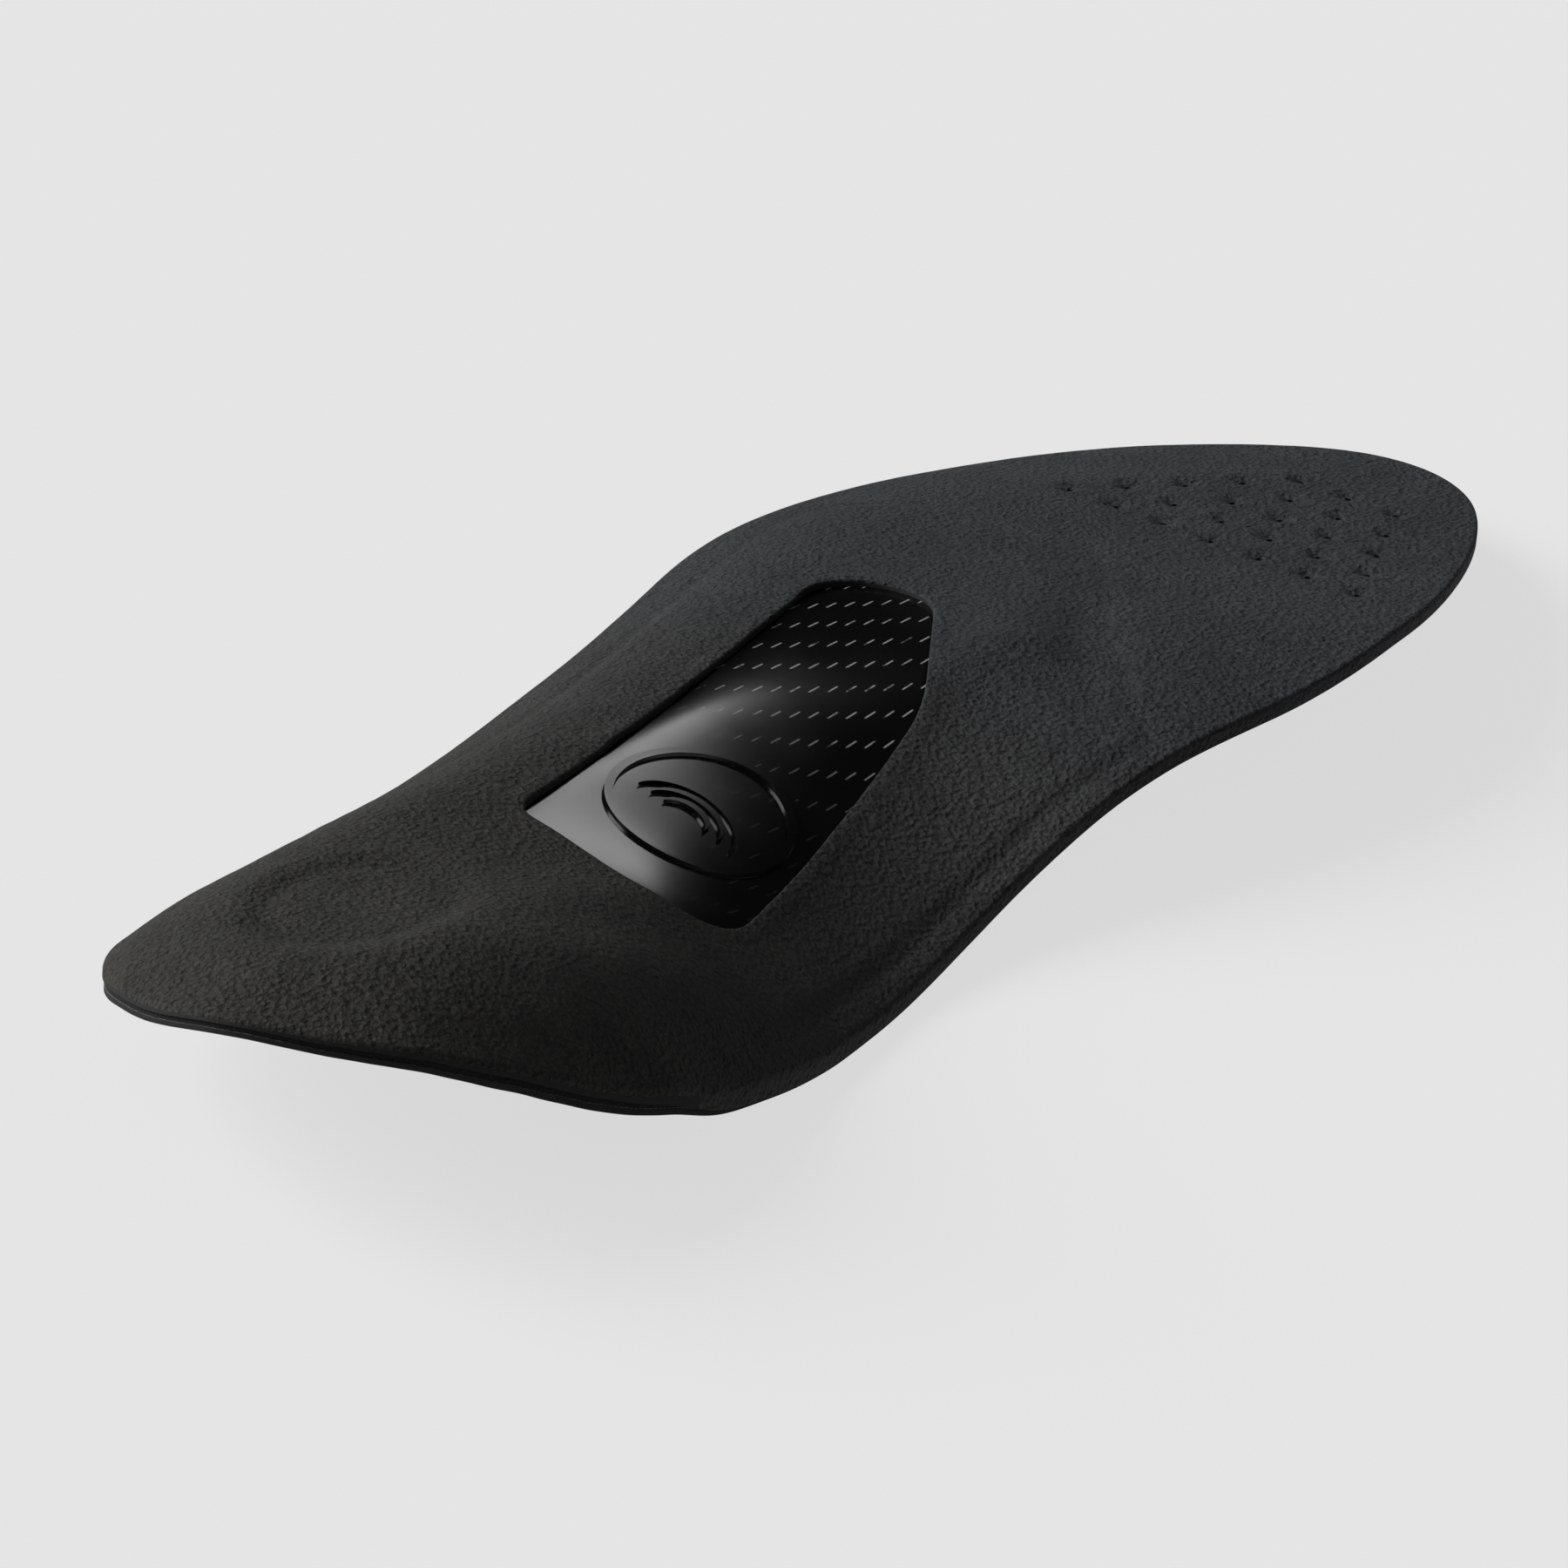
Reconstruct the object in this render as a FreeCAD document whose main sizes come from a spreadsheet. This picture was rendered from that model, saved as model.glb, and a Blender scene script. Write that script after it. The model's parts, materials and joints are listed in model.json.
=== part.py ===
"""Cushioned insole for a right foot, lying on its foot side with its sole side up, in millimetres.

It is designed in the insole's own frame: X from the heel to the toe, +Y to the little-toe side,
+Z out of the sole, and Z = 0 at the flat tread.  The rim turns down around the heel and most of
all at the arch.  Every layer lies between two surfaces that follow this one moulded shape.
At the end each piece is placed the way the finished insole rests upside down on a table.
"""
import FreeCAD, Part
import Sketcher
import math
import os

V = FreeCAD.Vector

# name, value in mm (degrees where the name says so), meaning
DIMENSIONS = (
    ("insole_length", 268.0, "back of the heel to the tip of the toe"),
    ("heel_width", 68.0, "across the heel"),
    ("waist_width", 68.0, "across the narrow middle"),
    ("ball_width", 94.0, "across the ball of the foot"),
    ("heel_cup_depth", 10.6, "how far the rim turns down beside the heel"),
    ("arch_height", 24.0, "how far the arch flange turns down"),
    ("wall_reach_heel", 18.0, "width of the turned-down wall at the heel"),
    ("wall_reach_toe", 24.0, "width of the turned-down wall at the ball and toe"),
    ("tread_crown", 0.15, "moulded crown that is skived off flat at the tread"),
    ("cover_thickness", 0.9, "sole cover"),
    ("shell_thickness", 1.3, "support shell"),
    ("foam_thickness", 4.2, "cushion foam in the middle"),
    ("foam_edge", 0.8, "cushion foam at the rim"),
    ("foam_taper", 12.0, "width over which the foam thins to the rim"),
    ("top_thickness", 0.7, "top cover"),
    ("toe_skive", 0.4, "share of the thickness that is skived away at the toe tip"),
    ("shell_margin_outer", 8.0, "rim to shell, little-toe side"),
    ("shell_margin_inner", 4.5, "rim to shell, arch side"),
    ("shell_to_toe", 62.0, "front tip of the shell to the tip of the toe"),
    ("window_start", 73.0, "heel end of the window, from the back of the heel"),
    ("window_land", 33.2, "toe end of the window to the front tip of the shell"),
    ("window_heel_outer", 7.2, "window corner, heel end, from the middle line to the little-toe side"),
    ("window_heel_inner", 22.6, "window corner, heel end, from the middle line to the arch side"),
    ("window_bend_back", 29.3, "bend in the window's arch side, back from its toe end"),
    ("window_bend_inner", 10.3, "the same bend, from the middle line to the arch side"),
    ("window_toe_inner", 5.7, "window corner at the toe end, nearer the arch, from the middle line"),
    ("window_toe_outer", 21.6, "window corner at the toe end, farther out, from the middle line"),
    ("window_skew", 2.2, "how far the outer heel corner lies ahead of the inner one"),
    ("window_outer_radius", 1600.0, "hollow of the window's outer side"),
    ("window_sharp_corner", 3.0, "rounding of the outer heel corner"),
    ("window_heel_corner", 10.0, "rounding of the inner heel corner"),
    ("window_bend", 40.0, "rounding of the bend in the arch side"),
    ("window_toe_corner", 7.5, "rounding of the toe corner nearer the arch"),
    ("window_outer_toe_corner", 8.9, "rounding of the outer toe corner"),
    ("heel_pad_centre", 34.0, "heel pad, from the back of the heel"),
    ("heel_pad_side", 2.5, "heel pad, from the middle line"),
    ("heel_pad_length", 28.0, "heel pad, along the foot"),
    ("heel_pad_width", 19.0, "heel pad, across the foot"),
    ("heel_pad_thickness", 2.8, "heel pad"),
    ("inlay_clearance", 0.1, "all round an inlaid pad"),
    ("arch_pad_centre", 95.0, "arch pad, from the back of the heel"),
    ("arch_pad_side", 15.0, "arch pad, from the middle line to the arch side"),
    ("arch_pad_length", 72.0, "arch pad, along the foot"),
    ("arch_pad_width", 16.0, "arch pad, across the foot"),
    ("arch_pad_thickness", 1.5, "arch pad"),
    ("metatarsal_to_toe", 102.0, "metatarsal pad's centre to the tip of the toe"),
    ("metatarsal_length", 44.0, "metatarsal pad, along the foot"),
    ("metatarsal_width", 27.0, "metatarsal pad, across the foot"),
    ("metatarsal_thickness", 1.1, "metatarsal pad at its edge"),
    ("metatarsal_dome", 1.5, "height that the metatarsal pad adds in its middle"),
    ("ball_pad_margin", 9.0, "rim to the ball pad"),
    ("ball_pad_gap", 3.0, "front edge of the shell to the ball pad"),
    ("vent_pitch", 8.55, "spacing of the vent holes"),
    ("vent_radius", 0.6, "vent hole"),
    ("vent_to_toe", 48.9, "middle of the rear row of vents to the tip of the toe"),
    ("vent_side", 10.7, "middle of the rear row of vents, from the middle line"),
    ("vent_turn_degrees", 11.2, "turn of the field of vents to the big-toe side"),
    ("emblem_centre", 101.0, "emblem, from the back of the heel"),
    ("emblem_side", 3.5, "emblem, from the middle line to the arch side"),
    ("emblem_length", 30.0, "oval ring of the emblem"),
    ("emblem_width", 22.0, "oval ring of the emblem"),
    ("emblem_line", 1.1, "width of the ring and of the widest ripple"),
    ("emblem_relief", 0.45, "height of the emblem above the shell"),
    ("ripple_first", 3.1, "radius of the smallest ripple of the emblem"),
    ("ripple_step", 1.9, "radius that each next ripple adds"),
    ("ripple_back", 3.6, "centre of the ripples, back from the emblem's centre"),
)

# Rim, anticlockwise from the back of the heel: share of the length, width that the station goes by
# and its share of half of it (+ little-toe side), depth that the rim goes by and its share.
RIM = (
    (0.000, "heel_width", 0.00, "heel_cup_depth", 0.25),
    (0.016, "heel_width", 0.40, "heel_cup_depth", 0.53),
    (0.059, "heel_width", 0.76, "heel_cup_depth", 0.77),
    (0.135, "heel_width", 0.91, "heel_cup_depth", 1.00),
    (0.236, "heel_width", 0.93, "heel_cup_depth", 0.98),
    (0.356, "waist_width", 0.95, "heel_cup_depth", 0.74),
    (0.477, "waist_width", 1.08, "heel_cup_depth", 0.63),
    (0.587, "ball_width", 0.91, "heel_cup_depth", 0.60),
    (0.675, "ball_width", 0.98, "heel_cup_depth", 0.45),
    (0.764, "ball_width", 0.90, "heel_cup_depth", 0.31),
    (0.849, "ball_width", 0.72, "heel_cup_depth", 0.26),
    (0.920, "ball_width", 0.47, "heel_cup_depth", 0.20),
    (0.972, "ball_width", 0.15, "heel_cup_depth", 0.12),
    (1.000, "ball_width", -0.25, "heel_cup_depth", 0.04),
    (0.979, "ball_width", -0.57, "heel_cup_depth", 0.00),
    (0.933, "ball_width", -0.76, "heel_cup_depth", 0.00),
    (0.865, "ball_width", -0.90, "heel_cup_depth", 0.00),
    (0.775, "ball_width", -0.99, "heel_cup_depth", 0.00),
    (0.675, "ball_width", -0.96, "arch_height", 0.11),
    (0.576, "ball_width", -0.84, "arch_height", 0.255),
    (0.476, "waist_width", -1.03, "arch_height", 0.64),
    (0.376, "waist_width", -1.03, "arch_height", 0.94),
    (0.275, "heel_width", -1.07, "arch_height", 0.96),
    (0.175, "heel_width", -1.03, "arch_height", 0.76),
    (0.096, "heel_width", -0.85, "heel_cup_depth", 0.97),
    (0.042, "heel_width", -0.60, "heel_cup_depth", 0.46),
    (0.012, "heel_width", -0.31, "heel_cup_depth", 0.28),
)
SHELL_OUTER_END = 22.0      # the shell leaves the little-toe rim at least this far behind its tip, mm
SHELL_INNER_END = 50.0      # the same on the arch side
BALL_OUTER_START = 0.70     # the ball pad follows the little-toe rim from here on, share of the length
BALL_INNER_START = 0.66     # the same on the big-toe side
# front edge of the shell, arch side first: mm behind its tip, share of half the ball width
SHELL_FRONT = (
    (45.0, -0.66), (34.0, -0.47), (21.0, -0.26), (4.0, -0.02), (0.0, 0.21), (3.0, 0.55), (14.0, 0.82),
)

ARCH_CENTRE = 0.361         # highest place of the arch, share of the length
ARCH_HEEL_REACH = 0.157     # how fast the arch fades to the heel and to the toe, shares of the length
ARCH_TOE_REACH = 0.194
ARCH_FADE_POWER = 2.4
ARCH_SIDE_POWER = 1.8       # how the arch grows from the outer side to the flange
ARCH_START = 10.0           # the arch starts this far inside the outer rim, mm
ARCH_SHARE_LIMIT = 1.3      # the arch grows no further than this beyond the inner rim
WALL_CHANGE_START = 0.19    # the wall's reach changes from the heel's to the toe's between these
WALL_CHANGE_LENGTH = 0.26   # shares of the length
SLOPE_LIMIT = 1.2           # squared slope beyond which a layer is no longer deepened
SKIVE_START = 0.87          # the toe is skived from here to its tip, share of the length
DOME_SPREAD = 0.62          # the swelling's half size, share of the metatarsal pad's size
OVERHANG = 6.0              # the moulded surfaces run on this far outside the rim, mm
GRID_STEP = 6.0             # spacing of the points that the moulded surfaces pass through, mm
RIM_SAMPLES = 540
OUTLINE_SPANS = len(RIM)    # the edge of each closed outline is divided into as many pieces
TALL = 60.0                 # taller than the insole on either side of the tread, mm
VENT_ROWS = (7, 6, 5, 4, 3)

doc = FreeCAD.newDocument("cushioned_insole")
sheet = doc.addObject("Spreadsheet::Sheet", "dimensions")


def fill_sheet():
    """One row for each driving dimension: its name, its value under that alias, and its meaning."""
    for row, (alias, value, meaning) in enumerate(DIMENSIONS, start=1):
        sheet.set(f"A{row}", alias)
        sheet.set(f"B{row}", str(value))
        sheet.setAlias(f"B{row}", alias)
        sheet.set(f"C{row}", meaning)
    doc.recompute()


def size(alias):
    """The value that a cell of the sheet holds."""
    return float(sheet.get(alias))


def smooth(share):
    """Eases from 0 to 1 with level ends."""
    share = min(max(share, 0.0), 1.0)
    return share * share * (3.0 - 2.0 * share)


def closed_curve(points):
    """A smooth closed curve through the points."""
    curve = Part.BSplineCurve()
    curve.interpolate(Points=points, PeriodicFlag=True)
    return curve


def face_inside(curve):
    """The flat face inside a smooth closed curve, whose edge is divided into equal spans."""
    first, last = curve.FirstParameter, curve.LastParameter
    cuts = [first + (last - first) * index / OUTLINE_SPANS for index in range(OUTLINE_SPANS + 1)]
    edges = [curve.toShape(start, end) for start, end in zip(cuts, cuts[1:])]
    return Part.Face(Part.Wire(edges))


def flat_face(points):
    """The flat face inside a smooth closed curve through the points."""
    return face_inside(closed_curve(points))


class Mould:
    """The moulded shape: its rim, and the height of any surface that follows it."""

    def __init__(self):
        self.length = size("insole_length")
        self.stations = []
        for along, width, across, depth, drop in RIM:
            x = along * self.length
            y = across * size(width) / 2
            self.stations.append(V(x, y, -drop * size(depth)))
        self.rim = closed_curve(self.stations)
        first, last = self.rim.FirstParameter, self.rim.LastParameter
        self.samples = []
        for index in range(RIM_SAMPLES):
            where = first + (last - first) * index / RIM_SAMPLES
            point = self.rim.value(where)
            ahead = self.rim.tangent(where)[0]
            inward = V(ahead.y, -ahead.x, 0).normalize()
            self.samples.append((point, inward))
        self.places = [(p.x, p.y) for p, _ in self.samples]

    def outline_face(self):
        """The plan outline as a flat face at Z = 0."""
        plan = self.rim.copy()
        for index in range(1, plan.NbPoles + 1):
            pole = plan.getPole(index)
            plan.setPole(index, V(pole.x, pole.y, 0))
        return face_inside(plan)

    def nearest(self, x, y):
        """The rim point nearest to a place in plan, and how far inside the rim the place is."""
        gaps = [(px - x) ** 2 + (py - y) ** 2 for px, py in self.places]
        point, inward = self.samples[gaps.index(min(gaps))]
        away = V(x - point.x, y - point.y, 0)
        inside = away.Length if away.dot(inward) >= 0 else -away.Length
        return point, max(inside, -OVERHANG)

    def sides(self, x):
        """The rim's two sides at a distance from the heel: arch side, then little-toe side."""
        x = min(max(x, 0.03 * self.length), 0.97 * self.length)
        crossings = []
        for (px, py), (qx, qy) in zip(self.places, self.places[1:] + self.places[:1]):
            if (px - x) * (qx - x) <= 0 and px != qx:
                crossings.append(py + (qy - py) * (x - px) / (qx - px))
        return min(crossings), max(crossings)

    def arch(self, x, y):
        """How far the arch lifts the surface away from the tread."""
        inner, outer = self.sides(x)
        behind = x < ARCH_CENTRE * self.length
        reach = (ARCH_HEEL_REACH if behind else ARCH_TOE_REACH) * self.length
        away = abs(x - ARCH_CENTRE * self.length) / reach
        peak = size("arch_height") * math.exp(-(away ** ARCH_FADE_POWER))
        share = (outer - ARCH_START - y) / (outer - ARCH_START - inner)
        return peak * min(max(share, 0.0), ARCH_SHARE_LIMIT) ** ARCH_SIDE_POWER

    def outer_height(self, x, y):
        """Height of the sole side before its crown is skived flat."""
        rim_point, inside = self.nearest(x, y)
        toeward = smooth((x / self.length - WALL_CHANGE_START) / WALL_CHANGE_LENGTH)
        reach = size("wall_reach_heel") + toeward * (size("wall_reach_toe") - size("wall_reach_heel"))
        missing = -rim_point.z - self.arch(rim_point.x, rim_point.y)
        wall = missing * max(1.0 - inside / reach, 0.0) ** 2
        return size("tread_crown") - self.arch(x, y) - wall

    def slope_factor(self, x, y):
        """Height that one millimetre of thickness takes up on the sloping surface."""
        step = GRID_STEP / 2
        along = (self.outer_height(x + step, y) - self.outer_height(x - step, y)) / (2 * step)
        across = (self.outer_height(x, y + step) - self.outer_height(x, y - step)) / (2 * step)
        return math.sqrt(1.0 + min(along * along + across * across, SLOPE_LIMIT))

    def skive(self, x):
        """The share of the thickness that is left, less than one only at the toe."""
        return 1.0 - size("toe_skive") * smooth((x / self.length - SKIVE_START) / (1.0 - SKIVE_START))


def foam_depth(mould, x, y):
    """Thickness of the foam: full in the middle and thin at the rim."""
    _, inside = mould.nearest(x, y)
    share = smooth(inside / size("foam_taper"))
    return size("foam_edge") + share * (size("foam_thickness") - size("foam_edge"))


def dome(x, y):
    """The swelling of the foot side over the metatarsal pad."""
    centre = size("insole_length") - size("metatarsal_to_toe")
    across = y / (size("metatarsal_width") * DOME_SPREAD)
    along = (x - centre) / (size("metatarsal_length") * DOME_SPREAD)
    return size("metatarsal_dome") * max(1.0 - along * along - across * across, 0.0) ** 2


def level_depths(mould, x, y):
    """Thickness of material above each level of the laminate, from the sole side inwards."""
    cover = size("cover_thickness")
    shell = cover + size("shell_thickness")
    foam = cover + foam_depth(mould, x, y)
    swell = dome(x, y)
    return {
        "sole_side": 0.0,
        "under_cover": cover,
        "under_shell": shell,
        "under_arch_pad": shell + size("arch_pad_thickness"),
        "under_heel_pad": cover + size("heel_pad_thickness"),
        "over_metatarsal": foam - size("metatarsal_thickness"),
        "under_foam": foam + swell,
        "foot_side": foam + swell + size("top_thickness"),
        "over_emblem": cover - size("emblem_relief"),
    }


def moulded_levels(mould):
    """For each level, the solid of everything below it, bounded above by the moulded surface."""
    widest = max(abs(p.y) for p in mould.stations) + OVERHANG
    columns = math.ceil((mould.length + 2 * OVERHANG) / GRID_STEP)
    rows = math.ceil(2 * widest / GRID_STEP)
    grids = {}
    for column in range(columns + 1):
        x = -OVERHANG + column * (mould.length + 2 * OVERHANG) / columns
        for row in range(rows + 1):
            y = -widest + row * 2 * widest / rows
            height = mould.outer_height(x, y)
            factor = mould.slope_factor(x, y) * mould.skive(x)
            for level, depth in level_depths(mould, x, y).items():
                lines = grids.setdefault(level, [])
                if len(lines) == column:
                    lines.append([])
                lines[column].append(V(x, y, height - depth * factor))
    below = {}
    for level, lines in grids.items():
        surface = Part.BSplineSurface()
        surface.interpolate(lines)
        below[level] = surface.toShape().extrude(V(0, 0, -TALL))
    return below


def upright(face):
    """A plan face made into a block taller than the insole."""
    low = face.copy()
    low.translate(V(0, 0, -TALL / 2))
    return low.extrude(V(0, 0, TALL))


def layer(below, plan, upper, lower):
    """The part of an upright block between two levels."""
    return upright(plan).common(below[upper]).cut(below[lower])


def feature(name, shape):
    """A plain document object that holds a shape."""
    thing = doc.addObject("Part::Feature", name)
    thing.Shape = shape
    return thing


def inset(mould, stations, margin_of):
    """Rim stations moved inwards, each by its own margin, in plan."""
    points = []
    for station in stations:
        _, inward = min(mould.samples, key=lambda s: (s[0] - station).Length)
        points.append(V(station.x, station.y, 0) + inward * margin_of(station))
    return points


def shell_front(ahead=0.0):
    """Points of the shell's front edge, from the arch side, moved ahead by a gap."""
    tip = size("insole_length") - size("shell_to_toe")
    return [V(tip - back + ahead, share * size("ball_width") / 2, 0) for back, share in SHELL_FRONT]


def shell_margin(station):
    """Distance from the rim to the shell, blended from one side to the other around the heel."""
    share = smooth(0.5 + station.y / size("heel_width"))
    return size("shell_margin_inner") + share * (size("shell_margin_outer") - size("shell_margin_inner"))


def shell_plan(mould):
    """The shell follows the rim around the heel and the waist, and ends behind the ball."""
    tip = size("insole_length") - size("shell_to_toe")
    outer = [s for s in mould.stations if s.y >= 0 and s.x < tip - SHELL_OUTER_END]
    inner = [s for s in mould.stations if s.y < 0 and s.x < tip - SHELL_INNER_END]
    around = inset(mould, inner, shell_margin) + inset(mould, outer, shell_margin)
    return flat_face(around + list(reversed(shell_front())))


def ball_pad_plan(mould):
    """The ball pad fills the forefoot inside the rim, ahead of the shell."""
    ahead = []
    for station in mould.stations:
        start = BALL_OUTER_START if station.y > 0 else BALL_INNER_START
        if station.x > start * mould.length:
            ahead.append(station)
    edge = inset(mould, ahead, lambda station: size("ball_pad_margin"))
    return flat_face(edge + shell_front(size("ball_pad_gap")))


def bind(thing, **formulas):
    """Ties properties of an object to the sheet; a double underscore stands for a dot."""
    for path, formula in formulas.items():
        thing.setExpression(path.replace("__", "."), formula)


def oval_block(name, length, width, x, y, clearance="0"):
    """An upright oval block whose size and place are formulas of the sheet."""
    oval = doc.addObject("Part::Ellipse", name + "_outline")
    bind(
        oval,
        MajorRadius=f"({length}) / 2 + {clearance}",
        MinorRadius=f"({width}) / 2 + {clearance}",
        Placement__Base__x=x,
        Placement__Base__y=y,
    )
    oval.Placement.Base.z = -TALL / 2
    block = doc.addObject("Part::Extrusion", name)
    block.Base = oval
    block.DirMode = "Custom"
    block.Dir = V(0, 0, 1)
    block.LengthFwd = TALL
    block.Solid = True
    return block


WINDOW_START = "dimensions.window_start"
WINDOW_END = "dimensions.insole_length - dimensions.shell_to_toe - dimensions.window_land"
# window corners in order, outer heel corner first: formulas of X and Y, and the cell that rounds it
WINDOW_CORNERS = (
    (WINDOW_START + " + dimensions.window_skew", "dimensions.window_heel_outer", "window_sharp_corner"),
    (WINDOW_START, "-dimensions.window_heel_inner", "window_heel_corner"),
    (WINDOW_END + " - dimensions.window_bend_back", "-dimensions.window_bend_inner", "window_bend"),
    (WINDOW_END, "dimensions.window_toe_inner", "window_toe_corner"),
    (WINDOW_END, "dimensions.window_toe_outer", "window_outer_toe_corner"),
)


def window_corner_points():
    """Where the window's corners lie with the sheet's present values."""
    start = size("window_start")
    end = size("insole_length") - size("shell_to_toe") - size("window_land")
    return (
        V(start + size("window_skew"), size("window_heel_outer"), 0),
        V(start, -size("window_heel_inner"), 0),
        V(end - size("window_bend_back"), -size("window_bend_inner"), 0),
        V(end, size("window_toe_inner"), 0),
        V(end, size("window_toe_outer"), 0),
    )


def window_block():
    """The block that cuts the window: four straight sides and a slightly hollow one, all corners rounded."""
    body = doc.addObject("PartDesign::Body", "window_block")
    sketch = body.newObject("Sketcher::SketchObject", "window_outline")
    plane = next(o for o in body.Origin.OriginFeatures if o.Role == "XY_Plane")
    sketch.AttachmentSupport = [(plane, "")]
    sketch.MapMode = "FlatFace"
    corners = window_corner_points()
    for start, end in zip(corners, corners[1:]):
        sketch.addGeometry(Part.LineSegment(start, end), False)
    sketch.addGeometry(bowed(corners[0], corners[-1], size("window_outer_radius")), False)
    join_window_sides(sketch)
    place_window_corners(sketch)
    pad = body.newObject("PartDesign::Pad", "window_pad")
    pad.Profile = sketch
    pad.Length = TALL
    pad.Midplane = True
    doc.recompute()
    round_window_corners(body)
    return body


def bowed(start, end, radius):
    """An arc from start to end that bulges to the arch side."""
    chord = end - start
    bulge = radius - math.sqrt(radius * radius - chord.Length ** 2 / 4)
    aside = V(chord.y, -chord.x, 0).normalize()
    return Part.Arc(start, start + chord / 2 + aside * bulge, end)


def join_window_sides(sketch):
    """The straight sides meet end to end, and the arc joins the last corner to the first."""
    arc = len(WINDOW_CORNERS) - 1
    for side in range(arc - 1):
        sketch.addConstraint(Sketcher.Constraint("Coincident", side, 2, side + 1, 1))
    sketch.addConstraint(Sketcher.Constraint("Coincident", arc - 1, 2, arc, 2))
    sketch.addConstraint(Sketcher.Constraint("Coincident", 0, 1, arc, 1))


def place_window_corners(sketch):
    """Every corner and the hollow side's radius come from the sheet."""
    arc = len(WINDOW_CORNERS) - 1
    for number, (x_formula, y_formula, _) in enumerate(WINDOW_CORNERS):
        side, end = (number, 1) if number < arc else (number - 1, 2)
        point = sketch.getPoint(side, end)
        for kind, value, formula in (("DistanceX", point.x, x_formula), ("DistanceY", point.y, y_formula)):
            index = sketch.addConstraint(Sketcher.Constraint(kind, -1, 1, side, end, value))
            sketch.setExpression(f"Constraints[{index}]", formula)
    index = sketch.addConstraint(Sketcher.Constraint("Radius", arc, size("window_outer_radius")))
    sketch.setExpression(f"Constraints[{index}]", "dimensions.window_outer_radius")


def round_window_corners(body):
    """Each upright edge of the block is rounded by its own radius."""
    for corner, (_, _, alias) in zip(window_corner_points(), WINDOW_CORNERS):
        base = body.Tip
        edges = []
        for index, edge in enumerate(base.Shape.Edges, start=1):
            ends = [v.Point for v in edge.Vertexes]
            if len(ends) != 2 or abs(ends[0].z - ends[1].z) < TALL / 2:
                continue
            if math.hypot(ends[0].x - corner.x, ends[0].y - corner.y) < 0.5:
                edges.append(f"Edge{index}")
        fillet = body.newObject("PartDesign::Fillet", alias + "_rounding")
        fillet.Base = (base, edges)
        fillet.setExpression("Radius", f"dimensions.{alias}")
        body.Tip = fillet
        doc.recompute()


def vent_pins():
    """Pins that pierce the forefoot, in rows on a triangular lattice that narrows to the toe."""
    pins = []
    for row, count in enumerate(VENT_ROWS):
        for place in range(count):
            pin = doc.addObject("Part::Cylinder", f"vent_pin_{len(pins) + 1}")
            across = f"({place} - ({count} - 1) / 2) * dimensions.vent_pitch"
            ahead = f"{row} * dimensions.vent_pitch * sqrt(3) / 2"
            turn = "dimensions.vent_turn_degrees * 1deg"
            start = "dimensions.insole_length - dimensions.vent_to_toe"
            x = f"{start} + {ahead} * cos({turn}) + {across} * sin({turn})"
            y = f"-dimensions.vent_side - {ahead} * sin({turn}) + {across} * cos({turn})"
            bind(pin, Radius="dimensions.vent_radius", Placement__Base__x=x, Placement__Base__y=y)
            pin.Height = TALL
            pin.Placement.Base.z = -TALL / 2
            pins.append(pin)
    return joined("vent_pins", pins)


def joined(name, things):
    """A union."""
    union = doc.addObject("Part::MultiFuse", name)
    union.Shapes = things
    return union


def cut(name, base, tool):
    """A piece with something taken away."""
    piece = doc.addObject("Part::Cut", name)
    piece.Base = base
    piece.Tool = tool
    return piece


def overlap(name, base, tool):
    """The part of a layer that lies in a block."""
    piece = doc.addObject("Part::Common", name)
    piece.Base = base
    piece.Tool = tool
    return piece


def tread_trimmer():
    """The block above the flat tread."""
    block = doc.addObject("Part::Box", "tread_trimmer")
    bind(
        block,
        Length="dimensions.insole_length + 20",
        Width="dimensions.ball_width + 20",
        Placement__Base__y="-dimensions.ball_width / 2 - 10",
    )
    block.Height = TALL / 2
    block.Placement.Base.x = -10
    return block


def emblem_block():
    """A plain oval ring with three ripples inside it, as an upright block."""
    x = "dimensions.emblem_centre"
    y = "-dimensions.emblem_side"
    whole = oval_block("emblem_oval", "dimensions.emblem_length", "dimensions.emblem_width", x, y)
    inner = oval_block(
        "emblem_oval_inside",
        "dimensions.emblem_length - 2 * dimensions.emblem_line",
        "dimensions.emblem_width - 2 * dimensions.emblem_line",
        x,
        y,
    )
    pieces = [cut("emblem_ring", whole, inner)]
    centre = f"{x} - dimensions.ripple_back"
    for index in range(3):
        radius = f"dimensions.ripple_first + {index} * dimensions.ripple_step"
        disc = ripple_disc(f"ripple_{index + 1}", radius, centre, y)
        bite = ripple_disc(f"ripple_bite_{index + 1}", radius, f"{centre} - dimensions.emblem_line", y)
        pieces.append(cut(f"ripple_crescent_{index + 1}", disc, bite))
    return joined("emblem_block", pieces)


def ripple_disc(name, radius, x, y):
    """An upright round block."""
    disc = doc.addObject("Part::Cylinder", name)
    bind(disc, Radius=radius, Placement__Base__x=x, Placement__Base__y=y)
    disc.Height = TALL
    disc.Placement.Base.z = -TALL / 2
    return disc


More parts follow.
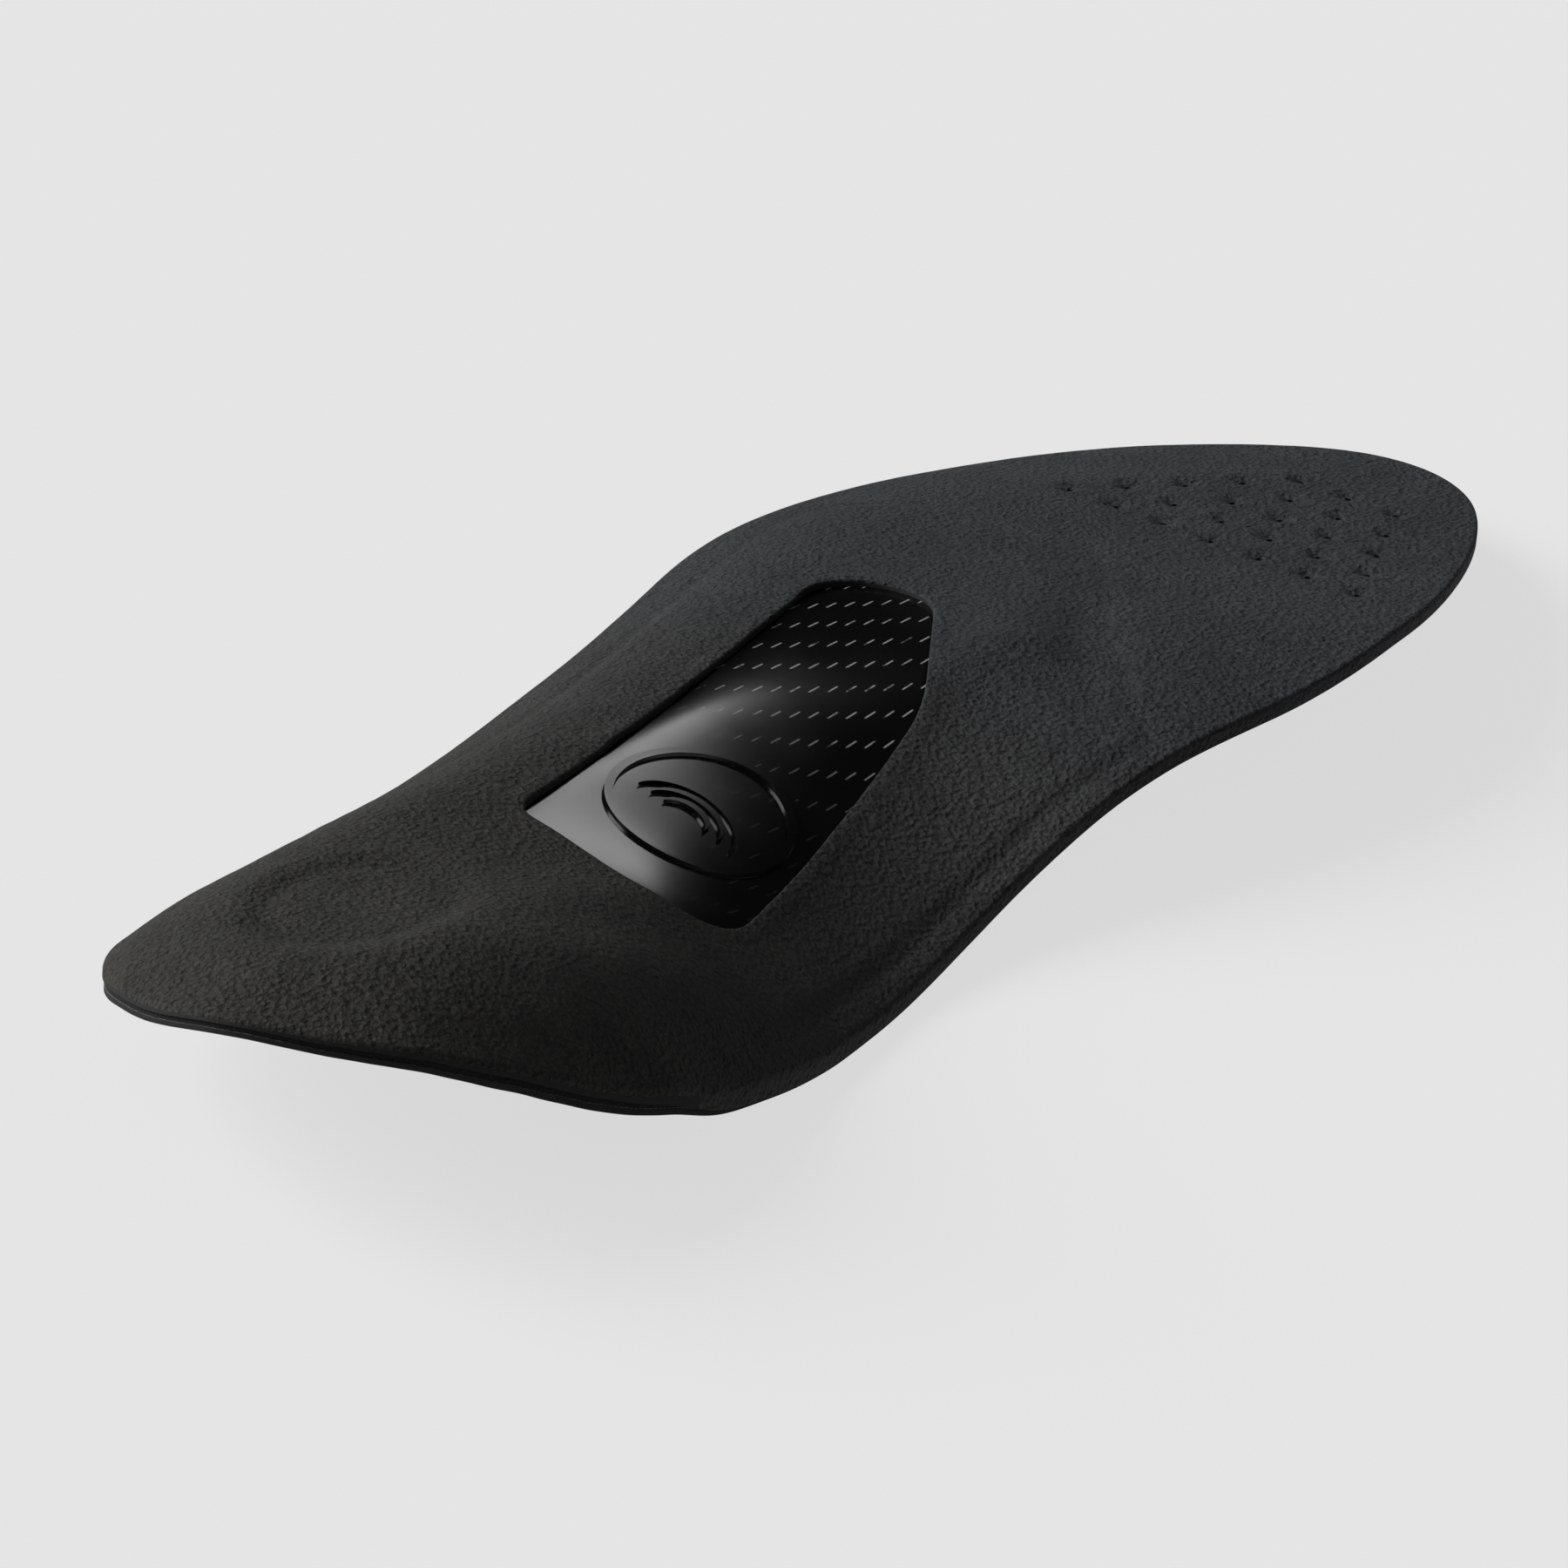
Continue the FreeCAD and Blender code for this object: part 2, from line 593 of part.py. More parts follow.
def rest_placement(mould):
    """Turns and lowers the insole so that it lies on three points of its foot-side rim, Z = 0 below."""
    thin = size("cover_thickness") + size("foam_edge") + size("top_thickness")
    lower = []
    upper = []
    for point, _ in mould.samples:
        factor = mould.slope_factor(point.x, point.y) * mould.skive(point.x)
        upper.append(point)
        lower.append(point - V(0, 0, thin * factor))
    middle = mould.outline_face().CenterOfMass
    corners = lower[::10]
    best = None
    for i, a in enumerate(corners):
        for j, b in enumerate(corners[i + 1:], start=i + 1):
            for c in corners[j + 1:]:
                normal = (b - a).cross(c - a)
                if abs(normal.z) < 1e-6:
                    continue
                height = a.z - (normal.x * (middle.x - a.x) + normal.y * (middle.y - a.y)) / normal.z
                if best is not None and height >= best[0]:
                    continue
                if not holds(a, b, c, middle):
                    continue
                best = (height, a, normal if normal.z > 0 else -normal)
    turn = FreeCAD.Rotation(best[2], V(0, 0, 1))
    turned = [turn.multVec(p) for p in upper + lower]
    low = V(min(p.x for p in turned), min(p.y for p in turned), min(p.z for p in turned))
    high = V(max(p.x for p in turned), max(p.y for p in turned), low.z)
    return FreeCAD.Placement((low + high) * -0.5, turn)


def holds(a, b, c, middle):
    """Whether the triangle of three contacts holds the middle, in plan."""
    signs = []
    for start, end in ((a, b), (b, c), (c, a)):
        signs.append((end.x - start.x) * (middle.y - start.y) - (end.y - start.y) * (middle.x - start.x))
    return min(signs) >= 0 or max(signs) <= 0


def build_pieces(mould):
    """Every piece of the insole, as an object of the document whose Label names its node."""
    below = moulded_levels(mould)
    outline = mould.outline_face()
    shell = shell_plan(mould)
    heel_oval = ("dimensions.heel_pad_length", "dimensions.heel_pad_width")
    heel_place = ("dimensions.heel_pad_centre", "dimensions.heel_pad_side")

    vents = vent_pins()
    window = window_block()
    cover_cutters = joined("cover_cutters", [window, vents, tread_trimmer()])
    cover_sheet = feature("cover_sheet", layer(below, outline, "sole_side", "under_cover"))
    sole_cover = cut("sole_cover", cover_sheet, cover_cutters)

    heel_hole = oval_block("heel_hole", *heel_oval, *heel_place, clearance="dimensions.inlay_clearance")
    shell_sheet = feature("shell_sheet", layer(below, shell, "under_cover", "under_shell"))
    support_shell = cut("support_shell", shell_sheet, heel_hole)

    heel_block = oval_block("heel_block", *heel_oval, *heel_place)
    heel_sheet = feature("heel_sheet", layer(below, outline, "under_cover", "under_heel_pad"))
    heel_pad = overlap("heel_pad", heel_sheet, heel_block)
    heel_room = overlap("heel_room", heel_sheet, heel_hole)

    arch_block = oval_block(
        "arch_block", "dimensions.arch_pad_length", "dimensions.arch_pad_width",
        "dimensions.arch_pad_centre", "-dimensions.arch_pad_side",
    )
    arch_sheet = feature("arch_sheet", layer(below, shell, "under_shell", "under_arch_pad"))
    arch_pad = overlap("arch_pad", arch_sheet, arch_block)
    arch_room = overlap("arch_room", arch_sheet, arch_block)

    dome_block = oval_block(
        "dome_block", "dimensions.metatarsal_length", "dimensions.metatarsal_width",
        "dimensions.insole_length - dimensions.metatarsal_to_toe", "0",
    )
    dome_sheet = feature("dome_sheet", layer(below, outline, "over_metatarsal", "under_foam"))
    metatarsal_pad = overlap("metatarsal_pad", dome_sheet, dome_block)
    metatarsal_room = overlap("metatarsal_room", dome_sheet, dome_block)

    ball_sheet = feature("ball_sheet", layer(below, ball_pad_plan(mould), "under_cover", "under_shell"))
    ball_pad = cut("ball_pad", ball_sheet, vents)

    foam_sheet = feature("foam_sheet", layer(below, outline, "under_cover", "under_foam"))
    inlays = joined(
        "foam_recesses", [shell_sheet, heel_room, arch_room, metatarsal_room, ball_sheet, vents]
    )
    cushion_foam = cut("cushion_foam", foam_sheet, inlays)

    top_sheet = feature("top_sheet", layer(below, outline, "under_foam", "foot_side"))
    top_cover = cut("top_cover", top_sheet, vents)

    relief_sheet = feature("relief_sheet", layer(below, shell, "over_emblem", "under_cover"))
    shell_emblem = overlap("shell_emblem", relief_sheet, emblem_block())

    pieces = [
        sole_cover, support_shell, shell_emblem, heel_pad, arch_pad,
        ball_pad, cushion_foam, metatarsal_pad, top_cover,
    ]
    rest = rest_placement(mould)
    for piece in pieces:
        piece.Placement = rest
    doc.recompute()
    return pieces


def check_document(pieces):
    """Stops if anything in the document failed or a piece is not a sound solid."""
    for thing in doc.Objects:
        if "Invalid" in thing.State or "Error" in thing.State:
            raise RuntimeError(f"{thing.Name} failed: {thing.State}")
    for piece in pieces:
        shape = piece.Shape
        if shape.isNull() or not shape.isValid() or not shape.Solids:
            raise RuntimeError(f"{piece.Label} is not a valid solid")


def write_pieces(pieces):
    """Writes each piece to its own file."""
    os.makedirs("parts", exist_ok=True)
    for piece in pieces:
        piece.Shape.exportStep(f"parts/{piece.Label}.step")
        print(piece.Label, len(piece.Shape.Solids), round(piece.Shape.Volume, 1))


fill_sheet()
the_pieces = build_pieces(Mould())
check_document(the_pieces)
write_pieces(the_pieces)
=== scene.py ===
"""Looks of the cushioned insole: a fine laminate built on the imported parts, lying sole side up."""

import json
import math

import bpy
import numpy as np
from mathutils import Matrix, Vector
from mathutils.bvhtree import BVHTree
from mathutils.geometry import delaunay_2d_cdt
from mathutils.kdtree import KDTree


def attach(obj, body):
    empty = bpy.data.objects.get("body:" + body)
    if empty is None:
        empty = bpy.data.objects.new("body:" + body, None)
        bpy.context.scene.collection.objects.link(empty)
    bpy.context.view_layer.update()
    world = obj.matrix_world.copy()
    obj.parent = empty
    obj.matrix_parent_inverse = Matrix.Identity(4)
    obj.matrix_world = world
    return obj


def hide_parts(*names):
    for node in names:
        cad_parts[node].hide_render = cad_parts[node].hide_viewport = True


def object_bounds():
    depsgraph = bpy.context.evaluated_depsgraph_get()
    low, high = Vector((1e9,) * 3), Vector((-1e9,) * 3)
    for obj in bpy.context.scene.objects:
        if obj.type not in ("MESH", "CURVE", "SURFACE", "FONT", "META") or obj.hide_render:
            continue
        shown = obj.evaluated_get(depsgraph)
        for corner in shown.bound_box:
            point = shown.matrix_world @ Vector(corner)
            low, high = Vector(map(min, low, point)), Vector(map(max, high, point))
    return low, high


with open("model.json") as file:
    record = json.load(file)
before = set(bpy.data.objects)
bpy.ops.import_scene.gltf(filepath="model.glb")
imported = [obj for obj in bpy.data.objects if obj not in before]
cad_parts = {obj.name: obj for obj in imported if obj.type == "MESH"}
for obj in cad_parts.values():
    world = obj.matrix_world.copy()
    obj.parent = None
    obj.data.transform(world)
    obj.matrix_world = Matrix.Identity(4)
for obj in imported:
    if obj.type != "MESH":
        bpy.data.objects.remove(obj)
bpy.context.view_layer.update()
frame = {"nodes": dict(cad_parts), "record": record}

MM = 0.001

# The camera, against the sole: degrees, millimetres.
CAMERA_AZIMUTH = -60.1
CAMERA_ELEVATION = 20.9
CAMERA_ROLL = -4.7
CAMERA_DISTANCE = 1003.0
CAMERA_LENS = 179.8
CAMERA_SHIFT = (-0.0180, -0.0391)
CAMERA_AIM_DEPTH = 5.0
CAMERA_AIM_BACK = 1.2

# ---------------------------------------------------------------- the sole's own frame

tread = frame["record"]["mounts"][0]
tread_normal = Vector(tread["axis"]).normalized()
to_sole = tread_normal.rotation_difference(Vector((0, 0, 1))).to_matrix()
turn = np.array(to_sole)


def turned_points(node):
    """A node's vertices in millimetres, turned so that the tread is level."""
    mesh = frame["nodes"][node].data
    flat = np.empty(len(mesh.vertices) * 3)
    mesh.vertices.foreach_get("co", flat)
    return flat.reshape(-1, 3) @ turn.T / MM


MIDDLE_LINE_SHIFT = 0.2     # from the middle of the whole width to the middle line, mm
foam_points = turned_points("cushion_foam")
origin = np.array([
    foam_points[:, 0].min(),
    (foam_points[:, 1].min() + foam_points[:, 1].max()) / 2 + MIDDLE_LINE_SHIFT,
    (turn @ np.array(tread["pos_m"]))[2] / MM,
])
LENGTH = np.ptp(foam_points[:, 0])
HALF_WIDTH = np.ptp(foam_points[:, 1]) / 2


def to_row(points):
    """Points of the sole's frame, in millimetres, as metres in the row's frame."""
    return (np.asarray(points, float) + origin) @ turn * MM


def node_tree(node):
    """A ray caster over a CAD node, in the sole's frame."""
    mesh = frame["nodes"][node].data
    points = turned_points(node) - origin
    faces = [tuple(p.vertices) for p in mesh.polygons]
    return BVHTree.FromPolygons([Vector(p) for p in points], faces)


NODES = ("sole_cover", "support_shell", "heel_pad", "cushion_foam", "top_cover")
trees = {node: node_tree(node) for node in NODES}


FAR_OFF = 90.0              # rays start this far above or below the tread, mm


def hit(node, x, y, down=True):
    """Height where an upright ray first meets a node, or None."""
    start = Vector((x, y, FAR_OFF if down else -FAR_OFF))
    found = trees[node].ray_cast(start, Vector((0, 0, -1.0 if down else 1.0)))[0]
    return None if found is None else found.z


# ---------------------------------------------------------------- outlines, measured on the parts

STRIDE = 2.0                # coarse step of a search for an edge, mm
HALVINGS = 22               # how often the search is then halved


def edge_along(node, start, heading, reach):
    """How far from start, along heading, the node's plan outline lies, looking in from outside."""
    far = reach
    while hit(node, *(start + heading * (far - STRIDE))) is None:
        far -= STRIDE
    near = far - STRIDE
    for _ in range(HALVINGS):
        middle = (near + far) / 2
        x, y = start[0] + heading[0] * middle, start[1] + heading[1] * middle
        if hit(node, x, y) is None:
            far = middle
        else:
            near = middle
    return (near + far) / 2


def gap_along(start, heading, reach):
    """How far from start, along heading, the window in the sole cover ends."""
    near, far = 0.0, reach
    for _ in range(HALVINGS):
        middle = (near + far) / 2
        x, y = start[0] + heading[0] * middle, start[1] + heading[1] * middle
        if hit("sole_cover", x, y) is None:
            near = middle
        else:
            far = middle
    return (near + far) / 2


def stadium_rays(heel_end, toe_end, count):
    """Starts and headings around a segment: out to each side of it and fanned around its two ends."""
    heel_end, toe_end = np.array(heel_end, float), np.array(toe_end, float)
    along = toe_end - heel_end
    length = np.linalg.norm(along)
    along = along / length
    side = np.array([-along[1], along[0]])
    straight = count // 3
    fan = (count - 2 * straight) // 2
    rays = []
    for share in np.linspace(0, 1, straight, endpoint=False):
        rays.append((toe_end + (heel_end - toe_end) * share, side))
    for angle in np.linspace(math.pi / 2, 3 * math.pi / 2, fan, endpoint=False):
        rays.append((heel_end, along * math.cos(angle) + side * math.sin(angle)))
    for share in np.linspace(0, 1, straight, endpoint=False):
        rays.append((heel_end + (toe_end - heel_end) * share, -side))
    for angle in np.linspace(-math.pi / 2, math.pi / 2, fan, endpoint=False):
        rays.append((toe_end, along * math.cos(angle) + side * math.sin(angle)))
    return rays


def even_loop(points, spacing):
    """A closed loop of evenly spaced points, slightly smoothed."""
    points = np.asarray(points)
    for _ in range(2):
        points = (np.roll(points, 1, 0) + 2 * points + np.roll(points, -1, 0)) / 4
    closed = np.vstack([points, points[:1]])
    run = np.concatenate([[0], np.cumsum(np.linalg.norm(np.diff(closed, axis=0), axis=1))])
    count = max(int(run[-1] / spacing), 8)
    where = np.linspace(0, run[-1], count, endpoint=False)
    return np.column_stack([np.interp(where, run, closed[:, k]) for k in (0, 1)])


def outward(loop):
    """Unit normals of an anticlockwise loop, pointing out of it."""
    ahead = np.roll(loop, -1, 0) - np.roll(loop, 1, 0)
    ahead /= np.linalg.norm(ahead, axis=1)[:, None]
    return np.column_stack([ahead[:, 1], -ahead[:, 0]])


def inside_of(loop, points):
    """Whether each point lies inside a closed loop."""
    points = np.asarray(points)
    inside = np.zeros(len(points), bool)
    x, y = points[:, 0], points[:, 1]
    for (ax, ay), (bx, by) in zip(loop, np.roll(loop, -1, 0)):
        if ay == by:
            continue
        crosses = (ay > y) != (by > y)
        inside ^= crosses & (x < (bx - ax) * (y - ay) / (by - ay) + ax)
    return inside


class Border:
    """A closed outline that tells how far points are from it, positive inside."""

    def __init__(self, loop):
        self.loop = loop
        self.tree = KDTree(len(loop))
        for index, (x, y) in enumerate(loop):
            self.tree.insert((x, y, 0), index)
        self.tree.balance()
        steps = np.linalg.norm(np.roll(loop, -1, 0) - loop, axis=1)
        self.run = np.concatenate([[0], np.cumsum(steps)[:-1]])
        self.total = steps.sum()

    def nearest(self, points):
        """Index of the nearest point of the outline, and the distance to it."""
        found = [self.tree.find((x, y, 0)) for x, y in np.asarray(points, float)]
        return np.array([f[1] for f in found]), np.array([f[2] for f in found])

    def measure(self, points):
        """Signed distance to the outline, and the distance run along it, of each point."""
        points = np.asarray(points, float)
        index = np.array([self.tree.find((x, y, 0))[1] for x, y in points])
        best = np.full(len(points), 1e9)
        run = np.zeros(len(points))
        for step in (0, -1):
            a = self.loop[(index + step) % len(self.loop)]
            b = self.loop[(index + step + 1) % len(self.loop)]
            chord = b - a
            share = np.clip(((points - a) * chord).sum(1) / (chord * chord).sum(1), 0, 1)
            gap = np.linalg.norm(points - a - chord * share[:, None], axis=1)
            closer = gap < best
            best = np.where(closer, gap, best)
            here = self.run[(index + step) % len(self.loop)] + share * np.linalg.norm(chord, axis=1)
            run = np.where(closer, here, run)
        sign = np.where(inside_of(self.loop[::4], points), 1.0, -1.0)
        close = best < 0.6
        if close.any():
            sign[close] = np.where(inside_of(self.loop, points[close]), 1.0, -1.0)
        return best * sign, run


def window_middle():
    """Heel end and toe end of the window's middle line: the shell shows, the cover doesn't."""
    places = []
    for x in np.arange(0.2 * LENGTH, 0.75 * LENGTH, STRIDE):
        for y in np.arange(-HALF_WIDTH, HALF_WIDTH, STRIDE):
            if hit("sole_cover", x, y) is None and hit("support_shell", x, y) is not None:
                places.append((x, y))
    places = np.array(places)
    ends = []
    for share in (0.22, 0.86):
        x = places[:, 0].min() + share * np.ptp(places[:, 0])
        row = places[np.abs(places[:, 0] - x) < 2.1]
        ends.append((x, row[:, 1].mean()))
    return ends


def outline(node, heel_end, toe_end, reach=80.0):
    """The plan outline of a node around a segment inside it."""
    return [s + h * edge_along(node, s, h, reach) for s, h in stadium_rays(heel_end, toe_end, 900)]


# Spacing of the points along each outline, mm.
RIM_STEP = 0.55
SHELL_STEP = 0.6
WINDOW_STEP = 0.4
rim_loop = even_loop(outline("cushion_foam", (0.12 * LENGTH, -2), (0.86 * LENGTH, -6)), RIM_STEP)
shell_loop = even_loop(outline("support_shell", (0.26 * LENGTH, -2), (0.64 * LENGTH, 2)), SHELL_STEP)
window_heel, window_toe = window_middle()
window_points = [s + h * gap_along(s, h, 60.0) for s, h in stadium_rays(window_heel, window_toe, 700)]
window_loop = even_loop(window_points, WINDOW_STEP)
pad_points = turned_points("heel_pad") - origin
pad_low, pad_high = pad_points.min(0), pad_points.max(0)
pad_middle = (pad_low + pad_high)[:2] / 2
pad_half = (pad_high - pad_low)[:2] / 2

rim = Border(rim_loop)
shell_edge = Border(shell_loop)
window = Border(window_loop)


def vent_places():
    """Middles of the vent holes, from the upright walls inside the top cover's rim."""
    mesh = frame["nodes"]["top_cover"].data
    points = turned_points("top_cover") - origin
    normals = np.array([p.normal for p in mesh.polygons]) @ turn.T
    upright = [p for p, n in zip(mesh.polygons, normals) if abs(n[2]) < 0.05]
    used = np.array(sorted({v for p in upright for v in p.vertices}))
    walls = points[used][:, :2]
    inner = walls[rim.measure(walls)[0] > 3.0]
    middles = []
    while len(inner):
        close = np.linalg.norm(inner - inner[0], axis=1) < 2.5
        middles.append((inner[close].min(0) + inner[close].max(0)) / 2)
        inner = inner[~close]
    return np.array(middles)


vents = vent_places()

# ---------------------------------------------------------------- heights, measured on the parts

STEP = 3.0                  # spacing of the height maps' grids, mm
RIM_MEND = 6.0              # width along the rim over which a height map is mended, mm


def along_rim(values, reach):
    """Values around the rim with strays removed, averaged over reach neighbours on either side."""
    around = np.stack([np.roll(values, k) for k in range(-reach, reach + 1)])
    steady = np.median(around, axis=0)
    for _ in range(2):
        steady = sum(np.roll(steady, k) for k in range(-reach, reach + 1)) / (2 * reach + 1)
    return steady


class HeightMap:
    """A smooth surface through the heights of a node, carried on a little past its edges."""

    def __init__(self, node, down, ease=0):
        self.node = node
        self.down = down
        self.low = np.array([-5 * STEP, -HALF_WIDTH - 5 * STEP])
        counts = np.ceil((np.array([LENGTH, 2 * HALF_WIDTH]) + 10 * STEP) / STEP).astype(int) + 1
        grid = np.full(counts, np.nan)
        for i in range(counts[0]):
            for j in range(counts[1]):
                x, y = self.low + STEP * np.array([i, j])
                found = hit(node, x, y, down)
                if found is not None:
                    grid[i, j] = found
        self.grid = self.filled(grid)
        for _ in range(ease):
            pad = np.pad(self.grid, 1, mode="edge")
            around = pad[2:, 1:-1] + pad[:-2, 1:-1] + pad[1:-1, 2:] + pad[1:-1, :-2]
            self.grid = 0.5 * self.grid + 0.125 * around
        self.rim_error = None

    def fit_to_rim(self, above=None):
        """Measures how far the smooth surface is off just inside the rim, so that at() can mend it.
        Below another surface it is the thickness between the two that is kept even along the rim."""
        inside = rings(rim_loop, [-0.12])[0]
        found = np.array([hit(self.node, x, y, self.down) or np.nan for x, y in inside])
        found = np.where(np.isnan(found), self.at(inside), found)
        if above is None:
            error = along_rim(found, 4) - self.at(inside)
        else:
            thickness = along_rim(above.at(inside) - found, 24)
            error = above.at(inside) - thickness - self.at(inside)
        self.rim_error = error
        return self

    @staticmethod
    def filled(grid):
        """Unknown heights carried on in straight lines from the known ones."""
        grid = grid.copy()
        for _ in range(30):
            unknown = np.isnan(grid)
            if not unknown.any():
                break
            total = np.zeros_like(grid)
            votes = np.zeros_like(grid)
            for di, dj in ((1, 0), (-1, 0), (0, 1), (0, -1), (1, 1), (-1, -1), (1, -1), (-1, 1)):
                pad = np.pad(grid, 2, constant_values=np.nan)
                one = pad[2 + di:pad.shape[0] - 2 + di, 2 + dj:pad.shape[1] - 2 + dj]
                two = pad[2 + 2 * di:pad.shape[0] - 2 + 2 * di, 2 + 2 * dj:pad.shape[1] - 2 + 2 * dj]
                guess = 2 * one - two
                known = ~np.isnan(guess)
                total[known] += guess[known]
                votes[known] += 1
            ready = unknown & (votes > 0)
            grid[ready] = total[ready] / votes[ready]
        return np.nan_to_num(grid, nan=0.0)

    def at(self, points):
        """Heights at plan points, by smooth interpolation."""
        place = (np.asarray(points, float) - self.low) / STEP
        cell = np.clip(np.floor(place).astype(int), 1, np.array(self.grid.shape) - 3)
        share = place - cell
        weights = []
        for t in (share[:, 0], share[:, 1]):
            weights.append(np.stack([
                -0.5 * t + t * t - 0.5 * t ** 3,
                1 - 2.5 * t * t + 1.5 * t ** 3,
                0.5 * t + 2 * t * t - 1.5 * t ** 3,
                -0.5 * t * t + 0.5 * t ** 3,
            ]))
        height = np.zeros(len(place))
        for i in range(4):
            for j in range(4):
                height += weights[0][i] * weights[1][j] * self.grid[cell[:, 0] + i - 1, cell[:, 1] + j - 1]
        if self.rim_error is not None:
            index, gap = rim.nearest(points)
            height += self.rim_error[index] * np.clip(1 - gap / RIM_MEND, 0, 1) ** 2
        return height


# ---------------------------------------------------------------- soft random waves

def waves(points, size, seed, octaves=1):
    """Smooth random values near -1..1 whose bumps are about size millimetres across."""
    points = np.asarray(points, float)
    source = np.random.default_rng(seed)
    total = np.zeros(len(points))
    weight = 1.0
    for _ in range(octaves):
        for _ in range(14):
            angle = source.uniform(0, 2 * math.pi)
            number = 2 * math.pi / (size * source.uniform(1.3, 2.9))
            phase = source.uniform(0, 2 * math.pi)
            total += weight * np.sin(
                (points[:, 0] * math.cos(angle) + points[:, 1] * math.sin(angle)) * number + phase)
        size /= 2.1
        weight /= 2
    return total / 5.3


def eased(value, low, high):
    """0 below low, 1 above high, level at both ends."""
    share = np.clip((value - low) / (high - low), 0, 1)
    return share * share * (3 - 2 * share)


# ---------------------------------------------------------------- meshes in plan

def lattice(border, spacing, clear, holes=()):
    """Points of a triangular lattice inside a border and clear of it and of the holes."""
    low, high = border.loop.min(0), border.loop.max(0)
    rows = []
    for k, y in enumerate(np.arange(low[1], high[1], spacing * math.sqrt(3) / 2)):
        x = np.arange(low[0] + (k % 2) * spacing / 2, high[0], spacing)
        rows.append(np.column_stack([x, np.full(len(x), y)]))
    points = np.vstack(rows)
    points = points[border.measure(points)[0] > clear]
    for hole, gap in holes:
        points = points[hole.measure(points)[0] < -gap]
    return points


def rings(loop, offsets):
    """Copies of an anticlockwise loop moved outwards by each offset."""
    normals = outward(loop)
    return [loop + normals * offset for offset in offsets]


def plan_mesh(outer, holes, extra):
    """Triangles that fill a loop, less its holes, and pass through the extra points.
    Returns the points, the triangles, and the indices of each loop, the outer one first."""
    loops = [outer] + list(holes)
    points = np.vstack(loops + [e for e in extra if len(e)])
    edges = []
    first = 0
    for loop in loops:
        edges += [(first + i, first + (i + 1) % len(loop)) for i in range(len(loop))]
        first += len(loop)
    placed, _, faces, origins, _, _ = delaunay_2d_cdt([Vector(p) for p in points], edges, [], 1, 1e-5)
    placed = np.array([tuple(p) for p in placed])
    faces = np.array([f for f in faces if len(f) == 3])
    renumber = np.full(len(points), -1)
    for new, olds in enumerate(origins):
        renumber[list(olds)] = new
    for hole in holes:
        middles = placed[faces].mean(1)
        near = (np.abs(middles - hole.mean(0)) < np.ptp(hole, axis=0)).all(1)
        near[near] = inside_of(hole, middles[near])
        faces = faces[~near]
    a, b, c = (placed[faces[:, k]] for k in range(3))
    clockwise = (b[:, 0] - a[:, 0]) * (c[:, 1] - a[:, 1]) < (b[:, 1] - a[:, 1]) * (c[:, 0] - a[:, 0])
    faces[clockwise] = faces[clockwise][:, ::-1]
    splits = np.cumsum([len(loop) for loop in loops])
    return placed, faces, np.split(renumber[:splits[-1]], splits[:-1])


class Skin:
    """Collects vertices and faces of one closed piece."""

    def __init__(self):
        self.points = []
        self.faces = []
        self.walls = []
        self.count = 0

    def add(self, points, faces, flip=False):
        """Adds a patch and returns the number of its first vertex."""
        first = self.count
        self.points.append(np.asarray(points, float))
        self.count += len(points)
        for face in faces:
            face = [first + int(v) for v in face]
            self.faces.append(face[::-1] if flip else face)
            self.walls.append(0)
        return first

    def band(self, upper, lower):
        """Quads between two closed rows of vertex numbers of equal length."""
        count = len(upper)
        for i in range(count):
            j = (i + 1) % count
            face = [upper[i], lower[i], lower[j], upper[j]]
            self.faces.append([int(v) for v in face])
            self.walls.append(1)

    def build(self, name, materials, node):
        """Makes the object, smooth, riding on the root body in place of its CAD node."""
        mesh = bpy.data.meshes.new(name)
        mesh.from_pydata([tuple(p) for p in to_row(np.vstack(self.points))], [], self.faces)
        for material in materials:
            mesh.materials.append(material)
        mesh.polygons.foreach_set("material_index", np.array(self.walls) * (len(materials) - 1))
        mesh.update()
        mesh.shade_smooth()
        mesh.set_sharp_from_angle(angle=math.radians(55))
        thing = bpy.data.objects.new(name, mesh)
        bpy.context.scene.collection.objects.link(thing)
        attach(thing, "root")
        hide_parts(node)
        return thing


sole_side = HeightMap("sole_cover", True).fit_to_rim()
cover_under = HeightMap("sole_cover", False).fit_to_rim(sole_side)
foam_under = HeightMap("top_cover", True).fit_to_rim(sole_side)
foot_side = HeightMap("top_cover", False).fit_to_rim(sole_side)
shell_top = HeightMap("support_shell", True, ease=3)
shell_under = HeightMap("support_shell", False, ease=3)


# ---------------------------------------------------------------- relief of the sole side

# Sizes of the relief, in millimetres.
RIM_ROUND = 0.55            # rounding of the skin at the rim
SKIRT = 1.2                 # depth of skin that is turned down over the foam's edge
SKIRT_WALL = 0.2            # thickness of the turned-down skin
LIP_ROUND = 0.35            # rounding of the skin at the window
LIP_BEAD = 0.10             # raised bead beside the window
PAD_GROOVE = 0.38           # groove over the edge of the heel pad
PAD_BEAD = 0.12             # raised bead outside that groove
VENT_RADIUS = 0.5
VENT_DEPTH = 0.62           # how far the skin is drawn in at a vent
VENT_RIDGE = 0.10           # raised ring around a vent
WRINKLE_DEPTH = 0.085       # creases beside the heel's rim
SHELL_GROOVE = 0.26         # dip of the skin beside the shell's edge
SHELL_CLIMB = 0.22          # rise of the skin over the shell's edge
VALLEY_DEPTH = 1.0          # hollow behind the ball
SHOULDER_HEIGHT = 1.0       # rise at the edge of the level tread
SWELL = 0.10                # broad unevenness of the skin
PEBBLING = 0.022            # fine unevenness of the skin
VENT_SIDES = 14


def bell(distance, middle, width):
    """1 at the middle, fading away to 0 on both sides of it."""
    return np.exp(-((distance - middle) / width) ** 2)


